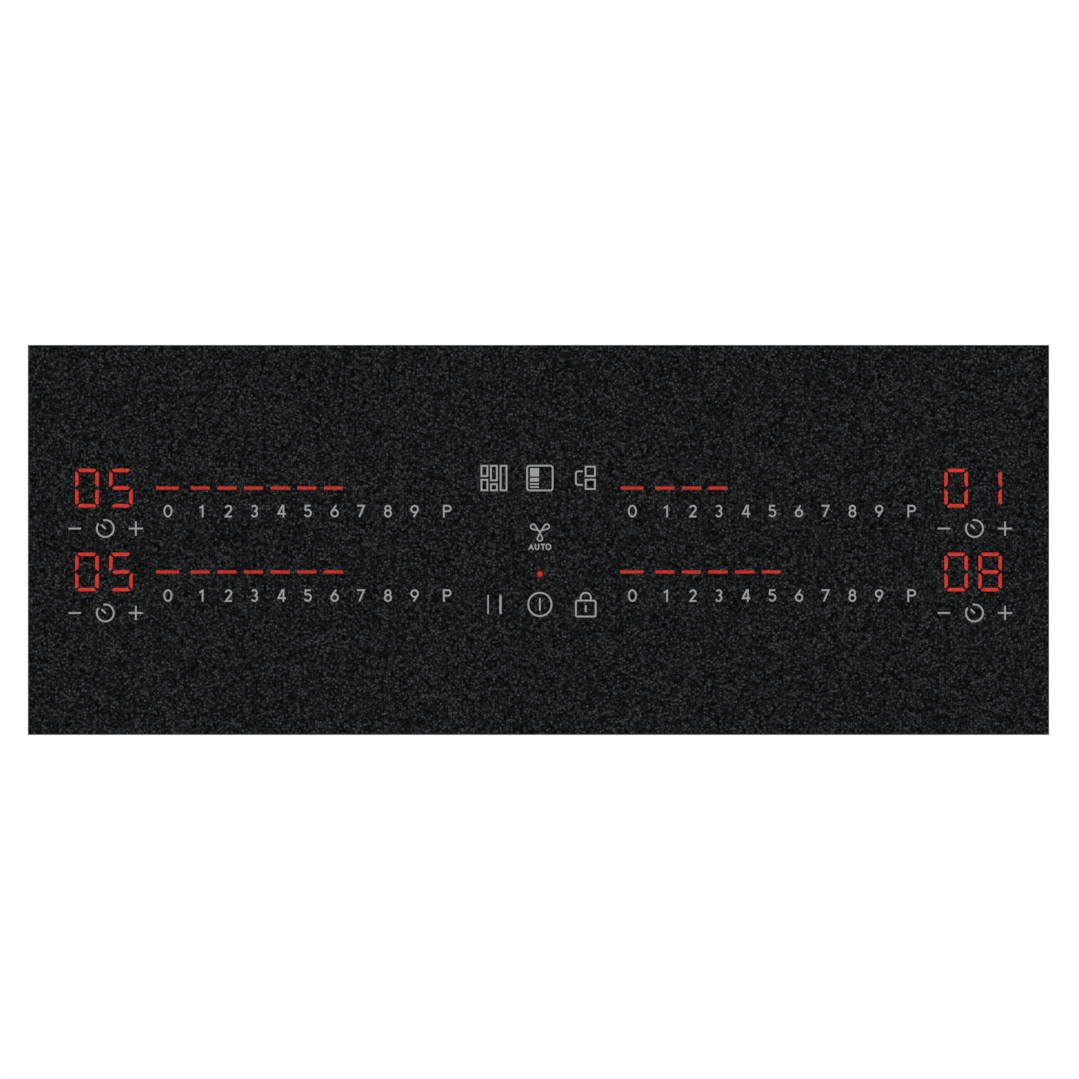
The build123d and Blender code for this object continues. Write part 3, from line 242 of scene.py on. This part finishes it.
def red_light(name, strength, dot=None):
    """Red light through the glass, broken up slightly by its grain; a dot is brightest in its middle."""
    s = Shader(name)
    grain = s.noise(0.85 * MM, detail=1.5)
    reds = [(0.25, (0.46, 0.020, 0.012)), (0.55, (0.62, 0.034, 0.022)), (0.85, (0.80, 0.07, 0.05))]
    glow = s.ramp(grain, reds)
    if dot is not None:
        away = s.range(s.distance(dot), 0.0, 2 * MM, 0.0, 1.0)
        reds = [(0.0, (0.85, 0.026, 0.010)), (0.3, (0.80, 0.024, 0.009)), (0.55, (0.36, 0.013, 0.007))]
        glow = s.mix(s.range(away, 0.8, 0.9, 1.0, 0.0), glow, s.ramp(away, reds))
    s.set(Base_Color=(0.02, 0.002, 0.002), Roughness=0.6, Specular_IOR_Level=0.1)
    s.set(Emission_Color=glow, Emission_Strength=strength)
    s.bump(grain, 0.1, 0.03 * MM)
    return s.material


def metal(name, dark, light, rough, along=(1, 1, 1), bump=0.1):
    """Bare metal with fine marks stretched along an axis and slow tone changes."""
    s = Shader(name)
    marks = s.noise(0.6 * MM, detail=4, where=s.stretched(along))
    slow = s.noise(25 * MM, detail=3)
    colour = s.mix(s.between(slow, 0.3, 0.7), dark, light)
    colour = s.mix(s.range(marks, 0.35, 0.65, 0.0, 0.25), colour, [0.55 * c for c in dark])
    s.set(Base_Color=colour, Metallic=1.0, Roughness=s.range(marks, 0.3, 0.7, rough, rough + 0.16))
    s.bump(marks, bump, 0.05 * MM)
    return s.material


def plastic(name, dark, light, rough, grain=0.5, bump=0.25, specular=0.4):
    """Moulded plastic with a spark-eroded texture."""
    s = Shader(name)
    texture = s.noise(grain * MM, detail=3)
    slow = s.noise(18 * MM, detail=2)
    s.set(
        Base_Color=s.mix(s.between(slow, 0.3, 0.7), dark, light),
        Roughness=s.range(texture, 0.3, 0.7, rough - 0.06, rough + 0.08),
        Specular_IOR_Level=specular,
    )
    s.bump(texture, bump, 0.06 * MM)
    return s.material


def circuit_board():
    """Green solder mask over copper tracks, with tinned pads."""
    s = Shader("circuit_board")
    weave = s.noise(1.2 * MM, detail=2)
    inputs = {"Vector": s.coordinates, "Scale": 1 / (9 * MM), "Mortar Size": 0.11, "Mortar Smooth": 0.1}
    inputs.update({"Color1": (0, 0, 0, 1), "Color2": (0, 0, 0, 1), "Mortar": (1, 1, 1, 1)})
    tracks = s.node("ShaderNodeTexBrick", inputs, offset=0.5, squash=0.7).outputs["Color"]
    pads = s.range(s.cells(6.5 * MM), 0.13, 0.16, 1.0, 0.0)
    mask = s.mix(s.between(weave, 0.3, 0.7), (0.012, 0.07, 0.03), (0.02, 0.10, 0.045))
    colour = s.mix(s.math("MULTIPLY", tracks, 0.6), mask, (0.045, 0.19, 0.07))
    colour = s.mix(pads, colour, (0.55, 0.55, 0.53))
    s.set(
        Base_Color=colour,
        Metallic=s.math("MULTIPLY", pads, 0.9),
        Roughness=s.range(pads, 0, 1, 0.34, 0.25),
    )
    s.bump(s.math("ADD", tracks, pads), 0.3, 0.08 * MM)
    return s.material


def litz():
    """Enamelled copper strands twisted round the cable."""
    s = Shader("enamelled_litz_wire")
    strands = s.noise(0.5 * MM, detail=2, where=s.stretched((1, 0.35, 1)))
    coppers = [(0.3, (0.16, 0.045, 0.015)), (0.55, (0.48, 0.16, 0.055)), (0.8, (0.72, 0.30, 0.12))]
    s.set(
        Base_Color=s.ramp(strands, coppers),
        Metallic=0.75,
        Roughness=s.range(strands, 0.3, 0.7, 0.28, 0.5),
    )
    s.bump(strands, 0.7, 0.25 * MM)
    return s.material


def mica():
    """Pressed mica sheet: flakes of slightly different browns, with cloudy patches."""
    s = Shader("pressed_mica")
    flakes = s.cells(5 * MM, output="Color")
    tone = s.node("ShaderNodeSeparateColor", {"Color": flakes}).outputs["Green"]
    cloud = s.noise(12 * MM, detail=5)
    colour = s.ramp(tone, [(0.0, (0.34, 0.28, 0.18)), (1.0, (0.55, 0.49, 0.36))])
    s.set(
        Base_Color=s.mix(s.range(cloud, 0.3, 0.7, 0, 0.5), colour, (0.25, 0.21, 0.14)),
        Roughness=s.range(tone, 0, 1, 0.35, 0.6),
    )
    s.bump(tone, 0.2, 0.1 * MM)
    return s.material


def sleeve(name, dark, light, pitch=0.9):
    """Braided sleeve or woven insulation."""
    s = Shader(name)
    inputs = {"Vector": s.coordinates, "Scale": 1 / (pitch * MM) / 6, "Distortion": 1.5, "Detail": 1.0}
    one = s.node("ShaderNodeTexWave", inputs, bands_direction="DIAGONAL").outputs["Fac"]
    two = s.noise(pitch * MM, detail=2)
    weave = s.math("MULTIPLY", one, two)
    s.set(Base_Color=s.mix(weave, dark, light), Roughness=s.range(weave, 0, 1, 0.6, 0.85))
    s.bump(weave, 0.4, 0.1 * MM)
    return s.material


def clear_plastic():
    """Clear plastic with a faint haze."""
    s = Shader("clear_light_guide")
    haze = s.noise(2 * MM, detail=2)
    s.set(
        Base_Color=s.ramp(haze, [(0.3, (0.80, 0.83, 0.85)), (0.7, (0.92, 0.93, 0.94))]),
        Roughness=s.range(haze, 0.3, 0.7, 0.12, 0.22),
        Transmission_Weight=0.85,
        IOR=1.49,
    )
    s.bump(haze, 0.1, 0.05 * MM)
    return s.material


def label_film():
    """Blank silver label with a thin printed border."""
    s = Shader("blank_silver_label")
    grain = s.noise(0.4 * MM, detail=3, where=s.stretched((0.05, 1, 1)))
    low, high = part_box("rating_plate")
    middle = (low + high) / 2
    place = s.node("ShaderNodeSeparateXYZ", {"Vector": s.coordinates})
    across = s.math("ABSOLUTE", s.math("SUBTRACT", place.outputs["X"], middle.x))
    up = s.math("ABSOLUTE", s.math("SUBTRACT", place.outputs["Z"], middle.z))
    border = 1.6 * MM
    edge_x = s.math("GREATER_THAN", across, (high.x - low.x) / 2 - border)
    edge_z = s.math("GREATER_THAN", up, (high.z - low.z) / 2 - border)
    edge = s.math("MAXIMUM", edge_x, edge_z)
    colour = s.mix(s.between(grain, 0.3, 0.7), (0.50, 0.51, 0.52), (0.62, 0.63, 0.64))
    s.set(
        Base_Color=s.mix(edge, colour, (0.06, 0.062, 0.065)),
        Metallic=s.range(edge, 0, 1, 0.8, 0.0),
        Roughness=s.range(grain, 0.3, 0.7, 0.3, 0.42),
    )
    s.bump(grain, 0.08, 0.03 * MM)
    return s.material


LOOKS = {
    "glass": speckled_glass(),
    "seal_foam": foam(),
    "galvanised_steel": galvanised(),
    "adhesive": plastic(
        "cured_silicone", (0.02, 0.02, 0.02), (0.035, 0.035, 0.036), 0.42, grain=4, bump=0.4
    ),
    "print_grey": enamel(),
    "led_red": red_light("red_digit_light", 1.0),
    "screw_steel": metal("zinc_plated_steel", (0.50, 0.51, 0.52), (0.62, 0.62, 0.61), 0.24, bump=0.08),
    "label_film": label_film(),
    "spring_steel": metal("spring_steel", (0.34, 0.35, 0.37), (0.48, 0.48, 0.49), 0.22, along=(1, 0.1, 1)),
    "black_plastic": plastic(
        "black_glass_filled_plastic", (0.012, 0.012, 0.013), (0.022, 0.022, 0.024), 0.5
    ),
    "terminal_plastic": plastic(
        "off_white_plastic", (0.60, 0.58, 0.53), (0.70, 0.69, 0.64), 0.45, bump=0.1
    ),
    "brass": metal("turned_brass", (0.62, 0.42, 0.16), (0.78, 0.58, 0.27), 0.2, bump=0.1),
    "rubber_black": plastic(
        "moulded_rubber", (0.010, 0.010, 0.010), (0.022, 0.022, 0.022), 0.72, specular=0.25
    ),
    "aluminium_sheet": metal(
        "rolled_aluminium", (0.62, 0.63, 0.64), (0.74, 0.75, 0.76), 0.24, along=(0.02, 1, 1)
    ),
    "former_plastic": plastic(
        "heat_proof_plastic", (0.022, 0.022, 0.024), (0.04, 0.04, 0.042), 0.55, grain=0.8
    ),
    "ferrite": plastic(
        "sintered_ferrite", (0.035, 0.036, 0.038), (0.075, 0.075, 0.078), 0.4, grain=0.3, bump=0.5
    ),
    "copper_litz": litz(),
    "silicone": plastic("white_silicone", (0.66, 0.66, 0.62), (0.76, 0.76, 0.73), 0.5, bump=0.1),
    "mica": mica(),
    "circuit_board": circuit_board(),
    "heat_sink_aluminium": metal(
        "extruded_aluminium", (0.58, 0.59, 0.6), (0.70, 0.71, 0.72), 0.26, along=(0.02, 1, 1)
    ),
    "capacitor_film": plastic(
        "capacitor_box", (0.50, 0.30, 0.03), (0.62, 0.40, 0.06), 0.28, grain=1, bump=0.08
    ),
    "choke_copper": litz(),
    "ui_plastic": plastic("carrier_plastic", (0.48, 0.48, 0.46), (0.58, 0.58, 0.56), 0.5),
    "display_grey": plastic("display_module", (0.05, 0.05, 0.055), (0.085, 0.085, 0.09), 0.4, bump=0.1),
    "light_guide": clear_plastic(),
    "contact_spring": metal("plated_spring_wire", (0.58, 0.58, 0.59), (0.70, 0.70, 0.70), 0.18),
    "lead_sleeve": sleeve("glass_fibre_sleeve", (0.42, 0.39, 0.32), (0.74, 0.71, 0.62)),
    "mains_insulation": sleeve("blue_wire_insulation", (0.03, 0.07, 0.22), (0.06, 0.13, 0.34), pitch=3),
    "ribbon_grey": sleeve("ribbon_cable_grey", (0.30, 0.30, 0.31), (0.50, 0.50, 0.51), pitch=1.3),
}
for name, cad_node in nodes.items():
    cad_node.data.materials.clear()
    cad_node.data.materials.append(LOOKS[slot_of[name]])
# The slider bars glow a little less than the digits
nodes["indicators_lit"].data.materials[0] = red_light("red_bar_light", 0.82, dot=power_dot())


# ---------------------------------------------------------------- fine pieces


def solids_of(node):
    """(lowest corner, highest corner) of each separate solid of a CAD node."""
    mesh = bmesh.new()
    mesh.from_mesh(nodes[node].data)
    bmesh.ops.remove_doubles(mesh, verts=mesh.verts, dist=0.01 * MM)
    waiting = set(mesh.verts)
    boxes = []
    while waiting:
        reached = [waiting.pop()]
        for vert in reached:
            for edge in vert.link_edges:
                other = edge.other_vert(vert)
                if other in waiting:
                    waiting.remove(other)
                    reached.append(other)
        corners = [[pick(v.co[i] for v in reached) for i in range(3)] for pick in (min, max)]
        boxes.append((Vector(corners[0]), Vector(corners[1])))
    mesh.free()
    return sorted(boxes, key=lambda box: [round(c, 5) for c in box[0]])


class Mesh:
    """Points and faces gathered into one piece."""

    def __init__(self):
        self.points = []
        self.faces = []

    def rings(self, rings, closed=False):
        """Skin a row of rings of equal length; open rows get a flat face at each end."""
        start = len(self.points)
        size = len(rings[0])
        for ring in rings:
            self.points.extend(ring)
        for i in range(len(rings) if closed else len(rings) - 1):
            here = start + i * size
            there = start + (i + 1) % len(rings) * size
            for j in range(size):
                k = (j + 1) % size
                self.faces.append((here + j, here + k, there + k, there + j))
        if not closed:
            self.faces.append(tuple(range(start + size - 1, start - 1, -1)))
            last = start + (len(rings) - 1) * size
            self.faces.append(tuple(range(last, last + size)))

    def turned(self, origin, axis, profile, lobes=0, sides=36):
        """Rings about an axis from (radius, height, depth of lobes) rows."""
        across = axis.orthogonal().normalized()
        other = axis.cross(across)
        rings = []
        for radius, height, dent in profile:
            ring = []
            for j in range(sides):
                angle = 2 * math.pi * j / sides
                reach = radius + dent * math.cos(lobes * angle)
                outwards = across * math.cos(angle) + other * math.sin(angle)
                ring.append(origin + axis * height + reach * outwards)
            rings.append(ring)
        self.rings(rings)

    def tube(self, line, radius, sides=8, lobes=0, dent=0.0, twist=0.0, closed=False):
        """Round or stranded cable along a line of points; twist is the turn per point."""
        rings = []
        up = Vector((0, 0, 1))
        count = len(line)
        for i, point in enumerate(line):
            ahead = line[(i + 1) % count] if closed or i < count - 1 else point
            behind = line[i - 1] if closed or i else point
            along = (ahead - behind).normalized()
            side = along.cross(up)
            side = side.normalized() if side.length > 1e-6 else along.orthogonal().normalized()
            top = side.cross(along)
            ring = []
            for j in range(sides):
                angle = 2 * math.pi * j / sides
                reach = radius + dent * math.cos(lobes * angle)
                turned = angle + i * twist
                ring.append(point + reach * (side * math.cos(turned) + top * math.sin(turned)))
            rings.append(ring)
        self.rings(rings, closed)

    def piece(self, name, material, body, slot, *stands_for):
        """Make the object, ride it on a body and hide the CAD nodes that it stands for."""
        mesh = bpy.data.meshes.new(name)
        mesh.from_pydata(self.points, [], self.faces)
        for face in mesh.polygons:
            face.use_smooth = len(face.vertices) == 4
        mesh.materials.append(material)
        obj = bpy.data.objects.new(name, mesh)
        bpy.context.scene.collection.objects.link(obj)
        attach(obj, body)
        if stands_for:
            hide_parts(*stands_for)
        return obj


def rounded_outline(low, high, corner, inset, height):
    """Rounded rectangle in plan, pulled in by inset."""
    steps = 8
    points = []
    radius = corner - inset
    for quarter, (sx, sy) in enumerate(((1, 1), (-1, 1), (-1, -1), (1, -1))):
        corner_x = high.x if sx > 0 else low.x
        corner_y = high.y if sy > 0 else low.y
        for i in range(steps + 1):
            angle = math.pi / 2 * (quarter + i / steps)
            x = corner_x - sx * corner + radius * math.cos(angle)
            y = corner_y - sy * corner + radius * math.sin(angle)
            points.append(Vector((x, y, height)))
    return points


def glass_plate():
    """The glass with a ground, rounded upper edge and a broken lower edge."""
    low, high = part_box("glass_top")
    corner = 6 * MM
    edge = 1.1 * MM
    broken = 0.35 * MM
    steps = 6
    rows = [(broken, low.z), (0.0, low.z + broken)]
    for i in range(steps + 1):
        angle = math.pi / 2 * i / steps
        rows.append((edge * (1 - math.cos(angle)), high.z - edge * (1 - math.sin(angle))))
    rows.append((1.6 * edge, high.z))
    plate = Mesh()
    plate.rings([rounded_outline(low, high, corner, inset, height) for inset, height in rows])
    mesh = plate.piece("glass_plate", LOOKS["glass"], "chassis", "glass", "glass_top").data
    mesh.materials.append(glass_edge())
    face_from = high.z - 0.3 * MM
    for polygon in mesh.polygons:
        polygon.material_index = 0 if polygon.center.z > face_from else 1


def screw_rows(head_radius, head_height, thread_radius, length):
    """Profile of a pan-head screw with a six-lobed recess, from the tip of its thread outwards."""
    root = 0.8 * thread_radius
    rows = [(0.3 * thread_radius, -length, 0), (root, -length + 0.5 * MM, 0)]
    for i in range(9):
        height = -length + (0.8 + 0.45 * i) * MM
        rows.append((thread_radius if i % 2 else root, height, 0))
    rows += [(head_radius, 0, 0), (head_radius, 0.3 * head_height, 0)]
    for i in range(1, 5):
        angle = math.pi / 2 * i / 6
        crown = head_radius * (0.42 + 0.58 * math.cos(angle))
        rows.append((crown, head_height * (0.3 + 0.7 * math.sin(angle)), 0))
    recess = 0.38 * head_radius
    rows += [(recess + 0.2 * MM, 0.96 * head_height, 0.12 * MM), (recess, 0.93 * head_height, 0.17 * MM)]
    rows += [(0.92 * recess, 0.25 * head_height, 0.15 * MM), (0.1 * MM, 0.15 * head_height, 0)]
    return rows


def tray_screws():
    """Screws through the tray's walls, each turned outwards from the wall that it is in."""
    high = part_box("bottom_tray")[1]
    near_wall = 6 * MM
    profile = screw_rows(3.2 * MM, 1.6 * MM, 1.5 * MM, 5 * MM)
    screws = Mesh()
    for screw_low, screw_high in solids_of("tray_screws"):
        middle = (screw_low + screw_high) / 2
        if high.x - abs(middle.x) < near_wall:
            axis = Vector((math.copysign(1, middle.x), 0, 0))
            foot = Vector((math.copysign(high.x, middle.x), middle.y, middle.z))
        else:
            axis = Vector((0, math.copysign(1, middle.y), 0))
            foot = Vector((middle.x, math.copysign(high.y, middle.y), middle.z))
        screws.turned(foot, axis, profile, lobes=6)
    screws.piece("tray_screw_set", LOOKS["screw_steel"], "chassis", "screw_steel", "tray_screws")


def bracket_rivets():
    """Two rivets in the flange of each clip bracket."""
    bracket_sheet = 0.9 * MM
    from_end = 1.6 * MM
    above_middle = 1 * MM
    head = [(1.2, -0.1), (1.2, 0.15), (1.0, 0.42), (0.6, 0.6), (0.1, 0.66)]
    profile = [(radius * MM, height * MM, 0) for radius, height in head]
    rivets = Mesh()
    for low, high in solids_of("clip_brackets"):
        side = 1 if low.x > 0 else -1
        tray_face = low.x if side > 0 else high.x
        face = tray_face + side * bracket_sheet
        for end, edge in ((1, low.y), (-1, high.y)):
            foot = Vector((face, edge + end * from_end, (low.z + high.z) / 2 + above_middle))
            rivets.turned(foot, Vector((side, 0, 0)), profile, sides=20)
    rivets.piece("bracket_rivet_set", LOOKS["screw_steel"], "chassis", "screw_steel")


def racetrack(place, radius, grown, straight):
    """Point at a distance round a racetrack of that radius, drawn at its grown radius."""
    arc = math.pi * radius
    for turn in (0, 1):
        sign = 1 - 2 * turn
        if place < arc:
            angle = place / radius - math.pi / 2
            return sign * Vector((straight + grown * math.cos(angle), grown * math.sin(angle), 0))
        place -= arc
        if place < 2 * straight:
            return sign * Vector((straight - place, grown, 0))
        place -= 2 * straight
    return Vector((straight, -grown, 0))


def litz_winding(node, eye=None):
    """Flat spiral of stranded cable from the eye, or from an oval opening, to the rim of the CAD winding."""
    low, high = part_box(node)
    middle = (low + high) / 2
    rim = (high.y - low.y) / 2
    straight = (high.x - low.x) / 2 - rim
    oval_ring = 27 * MM
    cable_width = 3.8 * MM
    point_spacing = 4 * MM
    inner = eye if eye else rim - oval_ring
    turns = round((rim - inner) / cable_width)
    pitch = (rim - inner) / turns
    cable = 0.47 * pitch
    line = []
    for turn in range(turns - 1):
        radius = inner + cable + turn * pitch
        length = 2 * math.pi * radius + 4 * straight
        count = round(length / point_spacing)
        for i in range(count):
            share = i / count
            line.append(middle + racetrack(share * length, radius, radius + pitch * share, straight))
    coil = Mesh()
    coil.tube(line, 0.92 * cable, sides=12, lobes=6, dent=0.08 * cable, twist=0.35)
    coil.piece(f"litz_{node}", LOOKS["copper_litz"], "chassis", "copper_litz", node)


def helix(foot, radius, height, turns, wire):
    """Points of a compression spring with closed ends, standing on foot."""
    flat = 0.7
    line = []
    count = int(turns * 20)
    for i in range(count + 1):
        turn = turns * i / count
        share = min(max((turn - flat) / (turns - 2 * flat), 0.0), 1.0)
        closed = wire * (min(turn, flat) + min(turns - turn, flat) - flat) / flat
        rise = wire / 2 + share * (height - wire) + 0.25 * closed
        angle = 2 * math.pi * turn
        rise = min(max(rise, wire / 2), height - wire / 2)
        line.append(foot + Vector((radius * math.cos(angle), radius * math.sin(angle), rise)))
    return line


def touch_springs():
    """Contact springs between the control board and the glass, one under each touch key."""
    wire = 0.6 * MM
    springs = Mesh()
    for low, high in solids_of("touch_springs"):
        foot = Vector(((low.x + high.x) / 2, (low.y + high.y) / 2, low.z))
        springs.tube(helix(foot, 3.05 * MM, high.z - low.z, 5.5, wire), wire / 2, sides=7)
    springs.piece("touch_spring_set", LOOKS["contact_spring"], "chassis", "contact_spring", "touch_springs")


def carrier_springs():
    """Each post is a pin inside the spring that presses the coil carrier up to the glass."""
    flange = 3.4 * MM
    flange_height = 1 * MM
    pin = 2.1 * MM
    wire = 0.8 * MM
    pins = Mesh()
    springs = Mesh()
    for low, high in solids_of("carrier_posts"):
        foot = Vector(((low.x + high.x) / 2, (low.y + high.y) / 2, low.z))
        height = high.z - low.z
        rows = [(flange, 0, 0), (flange, flange_height, 0), (pin, 1.2 * MM, 0)]
        rows += [(pin, height - 0.6 * MM, 0), (1.7 * MM, height, 0)]
        pins.turned(foot, Vector((0, 0, 1)), rows, sides=24)
        seat = foot + Vector((0, 0, flange_height))
        springs.tube(helix(seat, 3.0 * MM, height - flange_height, 8.5, wire), wire / 2, sides=8)
    slot = slot_of["carrier_posts"]
    pins.piece("carrier_pin_set", LOOKS[slot], "chassis", slot, "carrier_posts")
    springs.piece("carrier_spring_set", LOOKS["spring_steel"], "chassis", "spring_steel")


def wound_chokes():
    """Ring cores wound with one layer of thick enamelled wire, with a gap between start and end."""
    turns = 24
    points_per_turn = 14
    wire = 0.7 * MM
    inside_wire = 1.5 * MM
    cores = Mesh()
    wires = Mesh()
    for low, high in solids_of("chokes"):
        middle = (low + high) / 2
        minor = (high.z - low.z) / 2
        major = (high.x - low.x) / 2 - minor
        ring = []
        for i in range(40):
            angle = 2 * math.pi * i / 40
            ring.append(middle + major * Vector((math.cos(angle), math.sin(angle), 0)))
        cores.tube(ring, minor - inside_wire, sides=16, closed=True)
        line = []
        for i in range(turns * points_per_turn + 1):
            share = i / (turns * points_per_turn)
            place = math.radians(20 + 320 * share)
            round_core = 2 * math.pi * turns * share
            reach = minor - wire
            out = major + reach * math.cos(round_core)
            rise = reach * math.sin(round_core)
            line.append(middle + Vector((out * math.cos(place), out * math.sin(place), rise)))
        wires.tube(line, wire, sides=7)
    cores.piece("choke_core_set", LOOKS["ferrite"], "chassis", "ferrite", "chokes")
    wires.piece("choke_wire_set", LOOKS["choke_copper"], "chassis", "choke_copper")


glass_plate()
tray_screws()
bracket_rivets()
for number in range(1, 5):
    litz_winding(f"winding_flex_{number}")
for name in ("winding_front", "winding_rear"):
    litz_winding(name, eye=20 * MM)
touch_springs()
carrier_springs()
wound_chokes()


# ---------------------------------------------------------------- stage, light and camera


def strip_edges():
    """The part of the glass that is shown from above: the controls and the bare glass round them."""
    glass_low, glass_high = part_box("glass_top")
    width = 367.6 * MM
    depth = 140.4 * MM
    return -width / 2, width / 2, glass_low.y, glass_low.y + depth, glass_high.z


def flat_sheet(name, corners, material):
    """One flat face as an object of its own, with one material."""
    mesh = bpy.data.meshes.new(name)
    mesh.from_pydata(corners, [], [tuple(range(len(corners)))])
    sheet = bpy.data.objects.new(name, mesh)
    bpy.context.scene.collection.objects.link(sheet)
    mesh.materials.append(material)
    return sheet


def pale_floor():
    """Wide matt floor with faint clouds, level with the underside of the tray."""
    s = Shader("pale_floor")
    cloud = s.noise(0.5, detail=3)
    s.set(
        Base_Color=s.ramp(cloud, [(0.3, (0.84, 0.84, 0.835)), (0.7, (0.88, 0.88, 0.875))]),
        Roughness=0.85,
        Specular_IOR_Level=0.15,
    )
    half = 12.0
    corners = [(-half, -half, 0), (half, -half, 0), (half, half, 0), (-half, half, 0)]
    flat_sheet("floor", corners, s.material)


def soft_light(name, place, target, size, watts):
    """Square lamp at a place, turned towards its target."""
    lamp = bpy.data.lights.new(name, "AREA")
    lamp.shape = "SQUARE"
    lamp.size = size
    lamp.energy = watts
    obj = bpy.data.objects.new(name, lamp)
    bpy.context.scene.collection.objects.link(obj)
    obj.location = place
    obj.rotation_euler = (Vector(target) - Vector(place)).to_track_quat("-Z", "Y").to_euler()


def studio_world():
    """Pale backdrop for the camera, a dimmer even light for everything else."""
    world = bpy.data.worlds.new("studio")
    bpy.context.scene.world = world
    world.use_nodes = True
    tree = world.node_tree
    background = tree.nodes["Background"]
    path = tree.nodes.new("ShaderNodeLightPath")
    shade = tree.nodes.new("ShaderNodeMix")
    shade.data_type = "FLOAT"
    shade.inputs[2].default_value = 0.68
    shade.inputs[3].default_value = 0.92
    tree.links.new(path.outputs["Is Camera Ray"], shade.inputs[0])
    tree.links.new(shade.outputs[0], background.inputs["Strength"])
    background.inputs["Color"].default_value = (1, 1, 1, 1)


def overhead_camera():
    """Straight above the controls, far off with a long lens, so that they are seen without perspective."""
    left, right, front, rear, top = strip_edges()
    margin = 20.84 * MM
    view_width = right - left + margin
    distance = 2.0
    data = bpy.data.cameras.new("camera")
    data.sensor_width = 36.0
    data.lens = data.sensor_width * distance / view_width
    data.clip_start = 1 * MM
    data.clip_end = 60
    camera = bpy.data.objects.new("camera", data)
    bpy.context.scene.collection.objects.link(camera)
    aside = 0.36 * MM
    camera.location = ((left + right) / 2 + aside, (front + rear) / 2 + aside / 2, top + distance)
    bpy.context.scene.camera = camera
    return camera


def framing_card(camera):
    """A small white card with a window, just under the camera, that shows the controls alone on white."""
    left, right, front, rear, top = strip_edges()
    eye = camera.location
    drop = 6 * MM
    share = drop / (eye.z - top)
    card_z = eye.z - drop

    def at(x, y):
        """Place on the card that the camera sees in front of a place on the glass."""
        return (eye.x + (x - eye.x) * share, eye.y + (y - eye.y) * share, card_z)

    outside = 0.27
    corners = ((-1, -1), (1, -1), (1, 1), (-1, 1))
    outer = [at(eye.x + sx * outside, eye.y + sy * outside) for sx, sy in corners]
    inner = [at(left, front), at(right, front), at(right, rear), at(left, rear)]
    mesh = bpy.data.meshes.new("framing_card")
    sides = [(i, (i + 1) % 4, 4 + (i + 1) % 4, 4 + i) for i in range(4)]
    mesh.from_pydata(outer + inner, [], sides)
    card = bpy.data.objects.new("framing_card", mesh)
    bpy.context.scene.collection.objects.link(card)
    white = bpy.data.materials.new("white_card")
    white.use_nodes = True
    tree = white.node_tree
    tree.nodes.clear()
    glow = tree.nodes.new("ShaderNodeEmission")
    output = tree.nodes.new("ShaderNodeOutputMaterial")
    tree.links.new(glow.outputs["Emission"], output.inputs["Surface"])
    mesh.materials.append(white)
    for ray in ("diffuse", "glossy", "transmission", "volume_scatter", "shadow"):
        setattr(card, f"visible_{ray}", False)


bpy.context.scene.view_settings.view_transform = "Standard"
pale_floor()
studio_world()
soft_light("key", (-2.4, -1.8, 3.2), (0, 0, 0), 2.4, 30)
soft_light("fill", (2.6, -1.0, 3.0), (0, 0, 0), 2.4, 10)
soft_light("rear", (0.6, 3.0, 3.0), (0, 0, 0), 2.4, 12)
main_camera = overhead_camera()
framing_card(main_camera)
